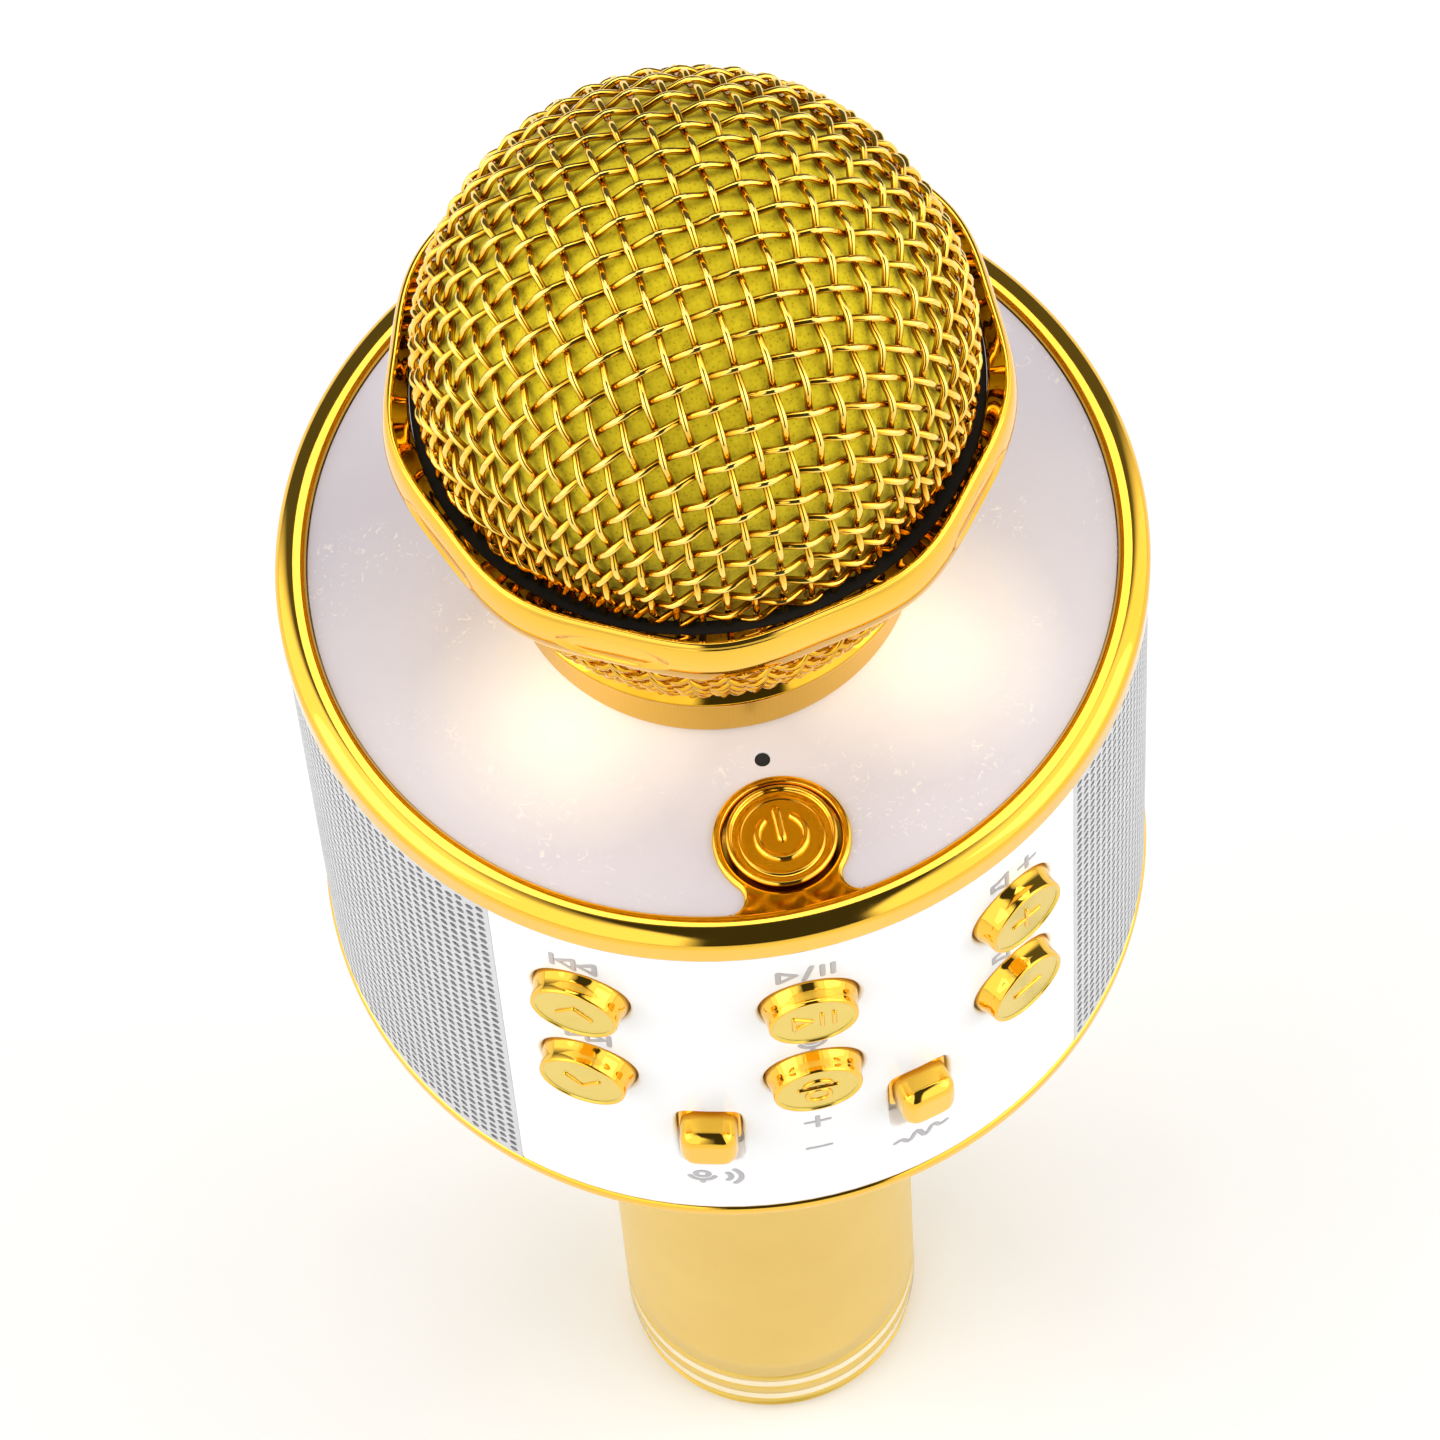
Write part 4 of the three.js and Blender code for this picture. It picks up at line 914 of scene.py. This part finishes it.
def power_button():
    shape = Shape()
    base = span("power_button")[0].z
    top = POWER_TOP
    face = top - FACE_DROP
    rim = [(0.5, base), (6.3, base), (6.3, base + 1.0), (5.3, base + 1.0), (5.3, face),
           (5.26, top - 0.2), (5.12, top - 0.06), (4.97, top - 0.02), (4.84, top - 0.12),
           (4.78, face + 0.04), (4.7, face - 0.02), (4.2, face), (4.05, face + 0.05),
           (3.95, face + 0.10), (3.85, face + 0.05)]
    middle = [(3.7, face), (3.3, face), (0.5, face)]
    turned(shape, rim + middle, 160, centre=(0, POWER_AT), wrap=False,
           marks=[0] * len(rim) + [1] * len(middle))
    bow = arc(0, POWER_AT, SYMBOL_RADIUS, 90 + SYMBOL_OPENING, 450 - SYMBOL_OPENING, 40)
    bar = line((0, POWER_AT - 0.2), (0, POWER_AT + 2.7), 6)
    for path, width, height in ((bow, 0.85, 0.38), (bar, 1.0, 0.40)):
        bead(shape, [(x, y, face - 0.02) for x, y in path], lambda p: (0, 0, 1), width, height, 12)
    shape.piece("power_key", [BRIGHT_GOLD, SOFT_GOLD], "power_button", "bright_gold",
                ["power_button"], flats=True)


# ------------------------------------------------------------------ buttons and sliders

def on_wall(angle, z):
    """A map from (across, up, height above the wall) at a place on the drum to a point, and the
    outward direction there."""
    a = math.radians(angle)
    out = Vector((math.sin(a), -math.cos(a), 0))
    side = Vector((math.cos(a), math.sin(a), 0))
    origin = out * WALL + Vector((0, 0, z))

    def warp(u, v, height):
        return tuple(origin + side * u + Vector((0, 0, v)) + out * height)
    return warp, out


ICON_HEIGHT, ICON_WIDTH = 0.2, 0.5
ICONS = {
    "previous": [line((-1.7, -0.7), (0, 0.9)), line((0, 0.9), (1.7, -0.7))],
    "next": [line((-1.7, 0.7), (0, -0.9)), line((0, -0.9), (1.7, 0.7))],
    "play": [line((-1.9, -1.1), (-1.9, 1.1)), line((-1.9, 1.1), (-0.2, 0)),
             line((-0.2, 0), (-1.9, -1.1)), line((0.8, -1.1), (0.8, 1.1)),
             line((2.0, -1.1), (2.0, 1.1))],
    "microphone": [arc(0, -1.25, 1.15, -90, 270, 28), line((-1.9, 0.35), (1.9, 0.35), 6),
                   arc(0, 0.2, 1.6, 35, 145)],
    "volume_up": [line((-1.6, 0), (1.6, 0), 6), line((0, -1.6), (0, 1.6), 6)],
    "volume_down": [line((-1.6, 0), (1.6, 0), 6)],
}
# Fine turned rings on a button's face: every second point of its profile dips by the depth
TURNED_POINTS, TURNED_STEP, TURNED_DEPTH = 19, 0.17, 0.045
BUTTON_BACK = -3.6  # height of its back above the wall


def button(icon, place, z):
    shape = Shape()
    warp, out = on_wall(BUTTON_COLUMNS[place], z)
    top = BUTTON_FACE - WALL
    back = BUTTON_BACK
    face = top - ICON_HEIGHT
    flange = [(0.5, back), (5.4, back), (5.4, back + 0.9), (4.78, back + 0.9)]
    side = [(4.78, -0.3), (4.70, 0.0), (4.58, 0.3), (4.49, 0.7), (4.44, 1.2), (4.42, top - 0.26),
            (4.38, top - 0.12), (4.28, top - 0.02), (4.16, top)]
    rim = [(4.05, top - 0.05), (3.98, face - 0.02), (3.90, face)]
    rings = [(3.72 - TURNED_STEP * i, face - TURNED_DEPTH * (i % 2)) for i in range(TURNED_POINTS)]
    bright = flange + side
    pale = rim + rings + [(0.5, face)]
    rows = [[warp(u, v, height) for u, v in ring(0, 0, radius, 112)]
            for radius, height in bright + pale]
    shape.skin(rows, marks=[0] * len(bright) + [1] * len(pale))
    for path in ICONS[icon]:
        bead(shape, [warp(u, v, face - 0.02) for u, v in path], lambda p: out, ICON_WIDTH,
             ICON_HEIGHT + 0.02)
    shape.piece("key_" + icon, [BRIGHT_GOLD, FACE_GOLD], "button_" + icon, "bright_gold",
                ["button_" + icon], flats=True)


def slider(name, side):
    """A knob, and the tray behind its slot that the lever passes through."""
    shape = Shape()
    angle = side * SLOT_ANGLE
    warp, _ = on_wall(angle, centre_of("slider_" + name).z)
    face = KNOB_FACE - WALL
    plate(shape, squircle(0, 0, 6.3, 7.3, 6.0, 80), [], -2.8, -0.5, warp, edge=0.25)
    plate(shape, squircle(0, 0, 5.7, 6.1, 3.6, 96), [], -0.6, face, warp, edge=1.35, steps=12,
          fall=1.35)
    plate(shape, rectangle(3.95, -4.3, 4.3, 0.5, 3, 4), [], -3.5, -2.75, warp, edge=0.15)
    shape.piece("knob_" + name, [BRIGHT_GOLD], "slider_" + name, "bright_gold",
                ["slider_" + name], flats=True)
    tray = Shape()
    warp, _ = on_wall(angle, SLOT_Z)
    plate(tray, rectangle(4.8, -7.5, 7.5, 0.5, 3, 4), [lane(0, -0.3, 2.0, 8.4, 24)], -4.28, -4.0,
          warp)
    plate(tray, rectangle(4.8, -7.5, 7.5, 0.5, 3, 4), [squircle(0, 0, 8.8, 14.2, 12.0, 64)],
          -4.1, -2.02, warp)
    tray.piece("slot_floor_" + name, [WHITE_GLOSS], "housing", "white_gloss")


# ------------------------------------------------------------------ ball grille

WIRE = 0.36  # radius of the mesh wire
CRIMP = 0.40  # rise and fall of a wire as it crosses the others
WEAVE = BALL - WIRE - CRIMP - 0.02  # middle surface of the woven wires
MESH_PITCH = (2.92, 2.74)  # between crossings along the cross wires and along the front wires
MESH_TURN = 6.0  # degrees from the front to the front wires
MESH_SHIFT = 1.0  # along the front wires from the pole to the nearest crossing
MESH_STEPS = 5
NET_REACH = 18
SHEAR_EASE = 0.25  # share of an even map that opens the steep diagonals of the net


def net_points():
    """Crossings (i, j) of a net laid on the sphere from its pole, as unit vectors. Every wire
    keeps its pitch from crossing to crossing, so the squares shear where the sphere falls away."""
    step_u, step_v = (pitch / WEAVE for pitch in MESH_PITCH)
    near_u, near_v = math.cos(step_u), math.cos(step_v)
    local = {}
    for i in range(NET_REACH):
        local[i, 0] = Vector((math.sin(i * step_u), 0, math.cos(i * step_u)))
        local[0, i] = Vector((0, math.sin(i * step_v), math.cos(i * step_v)))
    for i in range(1, NET_REACH):
        for j in range(1, NET_REACH):
            a, b = local.get((i - 1, j)), local.get((i, j - 1))
            if a is None or b is None:
                continue
            d = a.dot(b)
            spread = 1 - d * d
            if spread < 1e-3:
                continue
            x, y = (near_u - near_v * d) / spread, (near_v - near_u * d) / spread
            rest = 1 - (x * x + y * y + 2 * x * y * d)
            if rest < 0:
                continue
            across = a.cross(b) * math.sqrt(rest / spread)
            back = local[i - 1, j - 1]
            local[i, j] = max((a * x + b * y + across, a * x + b * y - across),
                              key=lambda p: (p - back).length)
    grid = {}
    for (i, j), p in local.items():
        flat = math.hypot(i * step_u, j * step_v)
        even = Vector((0, 0, 1)) if flat == 0 else Vector(
            (math.sin(flat) * i * step_u / flat, math.sin(flat) * j * step_v / flat, math.cos(flat)))
        q = (p * (1 - SHEAR_EASE) + even * SHEAR_EASE).normalized()
        for side in (1, -1):
            for end in (1, -1):
                grid[i * side, j * end] = Vector((q.x * side, q.y * end, q.z))
    return grid


def smooth_path(points, heights, steps):
    """Points between crossings on a wire, with its height above the mid surface."""
    out = []
    for k in range(len(points) - 1):
        p0 = points[max(k - 1, 0)]
        p1, p2 = points[k], points[k + 1]
        p3 = points[min(k + 2, len(points) - 1)]
        for s in range(steps):
            t = s / steps
            at = 0.5 * ((2 * p1) + (p2 - p0) * t + (2 * p0 - 5 * p1 + 4 * p2 - p3) * t * t
                        + (3 * p1 - p0 - 3 * p2 + p3) * t ** 3)
            blend = (1 - math.cos(math.pi * t)) / 2
            out.append((at, heights[k] * (1 - blend) + heights[k + 1] * blend))
    out.append((points[-1], heights[-1]))
    return out


def dome():
    shape = Shape()
    turn = Matrix.Rotation(math.radians(MESH_TURN), 3, "Z")
    shift = Matrix.Rotation(-MESH_SHIFT / WEAVE, 3, "X")
    placed = {key: turn @ shift @ p for key, p in net_points().items()}
    lowest = (span("grille_dome")[0].z + 0.15 - BALL_CENTRE) / WEAVE
    every = range(1 - NET_REACH, NET_REACH)
    for family in (0, 1):
        for fixed in every:
            run = [(k, fixed) if family == 0 else (fixed, k) for k in every]
            run = [key for key in run if key in placed]
            if len(run) > 2:
                heights = [CRIMP * (1 if (i + j + family) % 2 == 0 else -1) for i, j in run]
                path = smooth_path([placed[key] for key in run], heights, MESH_STEPS)
                piece = []
                for at, height in path + [(None, 0)]:
                    if at is not None and at.normalized().z > lowest:
                        piece.append((at.normalized(), height))
                        continue
                    if len(piece) > 3:
                        normals = [p for p, _ in piece]
                        points = [Vector((0, 0, BALL_CENTRE)) + p * (WEAVE + h) for p, h in piece]
                        thread(shape, points, normals, WIRE)
                    piece = []
    shape.piece("woven_dome", [DOME_GOLD_PAINTED_SHADE], "grille", "gold_wire", ["grille_dome"])


BOWL_FOOT, BOWL_KNEE = (182.8, 19.6), (205.4, 26.4)  # its height and radius, low and high
BOWL_COUNT = 42
BOWL_ROWS = 12


def bowl_radius(z):
    """Outside radius of the lower mesh."""
    t = min(max((z - BOWL_FOOT[0]) / (BOWL_KNEE[0] - BOWL_FOOT[0]), 0), 1)
    return BOWL_FOOT[1] + (BOWL_KNEE[1] - BOWL_FOOT[1]) * math.sin(t * math.pi / 2) ** 1.1


def bowl():
    shape = Shape()
    low, high = BOWL_LOW + 1.6, span("grille_bowl")[1].z - 0.2
    for family in (1, -1):
        for start in range(BOWL_COUNT):
            path, normals = [], []
            for k in range(BOWL_ROWS * MESH_STEPS + 1):
                t = k / MESH_STEPS
                z = low + (high - low) * t / BOWL_ROWS
                angle = 360 / BOWL_COUNT * (start + family * t / 2)
                lift = CRIMP * math.cos(math.pi * t) * family
                radius = bowl_radius(z) - WIRE - CRIMP - 0.02 + lift
                slope = (bowl_radius(z + 0.2) - bowl_radius(z - 0.2)) / 0.4
                path.append(Vector(spot(angle, radius, z)))
                x, y, _ = spot(angle, 1, 0)
                normals.append(Vector((x, y, -slope)).normalized())
            thread(shape, path, normals, WIRE)
    foot = BOWL_LOW
    corners = [(COLLAR - 1.9, foot), (COLLAR + 0.1, foot), (COLLAR + 1.15, foot + 0.9),
               (COLLAR + 1.15, foot + 1.4), (COLLAR + 0.2, foot + 2.3), (COLLAR - 1.9, foot + 2.3)]
    turned(shape, rounded(corners, [0, 0.5, 0.6, 0.6, 0.5, 0], 5), 240)
    shape.piece("woven_bowl", [WIRE_GOLD], "grille", "gold_wire", ["grille_bowl"])


BAND_WAVES = 9
BAND_FIRST = 12.1  # degrees from the front to the middle of the first flat
BAND_DEPTH = 0.75  # from the lobes in to the flats


def band_wave(angle):
    """0 on a lobe and 1 in the middle of a flat."""
    phase = ((angle - BAND_FIRST) * BAND_WAVES / 360) % 1
    t = abs(phase - 0.5) * 2
    return t * t * (3 - 2 * t)


BAND_ROWS = 56  # up the outside of the band
LENS_LENGTH, LENS_HEIGHT = 0.27, 0.34  # half sizes, as shares of a wave and of the band's height
LENS_DEPTH = 0.30
PLAIN_FLAT = 0  # the first flat carries no lens


def band():
    shape = Shape()
    low, high = BAND_LOW, BAND_HIGH
    inner, lip, outer = 26.7, 27.4, BAND
    profile = [(inner, low + 0.25), (inner + 0.25, low), (outer - 1.05, low), (outer - 0.8, low + 0.12)]
    first = len(profile)
    for k in range(BAND_ROWS + 1):
        t = k / BAND_ROWS
        profile.append((outer - 0.5 + 0.45 * math.sin(math.pi * t) ** 0.6,
                        low + 0.3 + (high - low - 0.75) * t))
    profile += [(outer - 0.56, high - 0.27), (outer - 0.68, high - 0.11), (outer - 0.84, high - 0.02),
                (outer - 1.02, high - 0.02), (outer - 1.18, high - 0.14), (outer - 1.3, high - 0.32),
                (lip + 0.1, high - 1.05), (inner + 0.3, high - 1.5), (inner + 0.08, high - 1.7),
                (inner, high - 2.1)]

    def reach(angle, row):
        place = (angle - BAND_FIRST) * BAND_WAVES / 360
        share = min(max((profile[row][0] - lip) / 0.6, 0), 1)
        move = -BAND_DEPTH * band_wave(angle) * share
        t = (row - first) / BAND_ROWS
        off = (place + 0.5) % 1 - 0.5
        lens = 1 - (off / LENS_LENGTH) ** 2 - ((t - 0.5) / LENS_HEIGHT) ** 2
        if 0 <= t <= 1 and lens > 0 and round(place) != PLAIN_FLAT:
            move -= LENS_DEPTH * min(1, lens * 3)
        return move

    turned(shape, profile, 720, reach=reach)
    shape.piece("faceted_band", [BRIGHT_GOLD], "grille", "bright_gold", ["grille_band"])
    # Painted shade: a black ring at the bottom of the crevice between the band and the mesh stands in for
    # the crevice's shade.
    crevice_shade_ring = Shape()
    under = span("grille_dome")[0].z - 0.4
    turned(crevice_shade_ring, rounded([(24.7, under), (inner - 0.05, under), (inner - 0.05, under + 1.0),
                            (BALL + 0.1, under + 0.8), (24.7, under + 0.5)], 0.1, 3), 240)
    crevice_shade_ring.piece("band_crevice_shade_ring", [RUBBER], "grille", "black_rubber")


def collar():
    shape = Shape()
    low, high = COLLAR_LOW, COLLAR_HIGH
    corners = [(COLLAR - 1.2, low), (COLLAR - 0.25, low), (COLLAR, low + 0.5), (COLLAR, high - 0.4),
               (COLLAR - 0.2, high + 0.1), (COLLAR - 1.2, high + 0.1)]
    turned(shape, rounded(corners, [0, 0.2, 0.3, 0.3, 0.2, 0], 4), 240)
    shape.piece("brushed_collar", [BRUSHED_GOLD], "grille", "satin_gold", ["grille_collar"])


FOAM_OUT = WEAVE - WIRE - CRIMP
FOAM_BORE = 12.0
FOAM_RINGS, FOAM_FOOT_RINGS, FOAM_COUNT = 150, 24, 220
FOAM_TURN = 106  # degrees from the top of the ball down to where the foam narrows with the bowl


def foam():
    shape = Shape()
    centre, low = BALL_CENTRE, FOAM_LOW + 0.4
    profile = []
    for i in range(FOAM_RINGS + 1):
        angle = math.radians(0.4 + FOAM_TURN * i / FOAM_RINGS)
        profile.append((FOAM_OUT * math.sin(angle), centre + FOAM_OUT * math.cos(angle)))
    start = profile[-1][1]
    for i in range(1, FOAM_FOOT_RINGS + 1):
        z = start + (low - start) * i / FOAM_FOOT_RINGS
        profile.append((min(profile[-1][0], bowl_radius(z) - 1.7), z))
    angles = [360 * j / FOAM_COUNT for j in range(FOAM_COUNT)]
    rows = []
    for radius, z in profile:
        row = []
        for angle in angles:
            x, y, _ = spot(angle, radius, 0)
            p = Vector((x, y, z))
            dent = noise.noise(p * 0.35) * 0.10 + noise.noise(p * 1.3) * 0.05 + 0.12
            outward = Vector((x, y, max(z - centre, 0))).normalized()
            row.append(p - outward * dent)
        rows.append(row)
    rows += [[spot(angle, FOAM_BORE, z) for angle in angles] for z in (low, centre + 12)]
    shape.skin(rows)
    piece = shape.piece("foam_ball", [FOAM_YELLOW], "grille", "foam", ["foam_liner"])


# ------------------------------------------------------------------ printed marks

MARK_RELIEF = 0.035
MARK_SCALE = 1.3
ABOVE_BUTTON, BELOW_SLOT = 6.9, 9.4  # from their middles to the mark


def stroke(a, b):
    return line(a, b, 3)


def wedge(x, side):
    """A triangle that points to a side."""
    return [stroke((x, 0.8), (x + side * 1.3, 0)), stroke((x + side * 1.3, 0), (x, -0.8)),
            stroke((x, -0.8), (x, 0.8))]


def small_microphone(x):
    return [arc(x, 0.4, 0.5, 0, 360, 16), arc(x, 0.3, 1.0, 200, 340, 12),
            stroke((x, -0.75), (x, -1.1))]


def marks():
    """Small pictograms beside the controls."""
    shape = Shape()

    def draw(angle, z, paths, width=0.58):
        for path in paths:
            bent = [spot(angle + math.degrees(MARK_SCALE * u / WALL), WALL, z + MARK_SCALE * v)
                    for u, v in path]
            bead(shape, bent, lambda p: (p[0], p[1], 0), width, MARK_RELIEF, 6)

    corners = [(-2.0, 0.45), (-1.4, 0.45), (-0.6, 1.0), (-0.6, -1.0), (-1.4, -0.45), (-2.0, -0.45)]
    speaker = [stroke(a, b) for a, b in zip(corners, corners[1:] + corners[:1])]
    minus = [stroke((0.6, 0), (2.2, 0))]
    plus = minus + [stroke((1.4, -0.8), (1.4, 0.8))]
    dash = [stroke((-0.9, 0), (0.9, 0))]
    bars = [stroke((x, 0.8), (x, -0.8)) for x in (1.1, 1.9)]
    wave = [(-2.2 + 4.4 * t, 0.75 * math.sin(6 * math.pi * t) * math.sin(math.pi * t))
            for t in (i / 24 for i in range(25))]
    high, low = ROW_HIGH + ABOVE_BUTTON, ROW_LOW + ABOVE_BUTTON
    left, right = BUTTON_COLUMNS["left"], BUTTON_COLUMNS["right"]
    draw(left, high, wedge(-0.2, -1) + wedge(1.4, -1) + [stroke((-1.9, 0.8), (-1.9, -0.8))])
    draw(left, low, wedge(0.2, 1) + wedge(-1.4, 1) + [stroke((1.9, 0.8), (1.9, -0.8))])
    draw(0, high, wedge(-2.2, 1) + [stroke((-0.3, -1.0), (0.3, 1.0))] + bars)
    draw(0, low, small_microphone(0))
    draw(right, high, speaker + plus)
    draw(right, low, speaker + minus)
    draw(0, SLOT_Z + 1.5, dash + [stroke((0, -0.9), (0, 0.9))], 0.5)
    draw(0, SLOT_Z - 4.6, dash, 0.5)
    draw(-SLOT_ANGLE, SLOT_Z - BELOW_SLOT, small_microphone(-0.9) + [
        arc(0.4, 0, radius, -45, 45, 12) for radius in (0.9, 1.7)])
    draw(SLOT_ANGLE, SLOT_Z - BELOW_SLOT, [wave])
    shape.piece("panel_marks", [LABEL_GREY], "housing", "grey_plastic")


# ------------------------------------------------------------------ carried-over CAD nodes

CARRIED = {
    "black_plastic": BLACK, "grey_plastic": GREY, "black_rubber": RUBBER, "circuit_board": BOARD,
    "steel": STEEL, "warm_light": LAMP, "cone_paper": PAPER, "battery_wrap": WRAP,
    "satin_gold": SATIN_GOLD, "bright_gold": BRIGHT_GOLD, "gold_wire": WIRE_GOLD,
    "white_gloss": WHITE_GLOSS, "frosted_plate": MILKY, "silver_mesh": SILVER, "foam": FOAM_YELLOW,
}


def paint_nodes():
    for entry in frame["record"]["subparts"]:
        thing = frame["nodes"][entry["node"]]
        thing.data.materials.clear()
        thing.data.materials.append(CARRIED[entry["material_slot"]])


FLOOR_SIZE, FLOOR_DROP = 4.0, 0.0002  # metres
FLOOR_CELLS = 8


def add_floor():
    mesh = bpy.data.meshes.new("floor")
    stops = [FLOOR_SIZE * (i / FLOOR_CELLS - 0.5) for i in range(FLOOR_CELLS + 1)]
    row = FLOOR_CELLS + 1
    starts = [j * row + i for j in range(FLOOR_CELLS) for i in range(FLOOR_CELLS)]
    mesh.from_pydata([(x, y, -FLOOR_DROP) for y in stops for x in stops], [],
                     [[k, k + 1, k + row + 1, k + row] for k in starts])
    mesh.materials.append(finish("pale_floor", (0.93, 0.93, 0.93), (0.96, 0.96, 0.96), (0.7, 0.8),
                                 grain=60, blotch=3))
    floor = bpy.data.objects.new("floor", mesh)
    bpy.context.scene.collection.objects.link(floor)


bpy.context.scene.view_settings.view_transform = "Standard"
add_camera()
add_world()
add_light()
add_floor()
paint_nodes()
end_cap()
handle()
base_bezel()
front_panel()
rear_panel()
port("charge_port", True)
port("card_slot", False)
speaker_grille(-1)
speaker_grille(1)
top_bezel()
top_plate()
power_button()
for icon, place, z in (("previous", "left", ROW_HIGH), ("play", "middle", ROW_HIGH),
                       ("volume_up", "right", ROW_HIGH), ("next", "left", ROW_LOW),
                       ("microphone", "middle", ROW_LOW), ("volume_down", "right", ROW_LOW)):
    button(icon, place, z)
slider("mic_volume", -1)
slider("effect", 1)
dome()
bowl()
band()
collar()
foam()
marks()
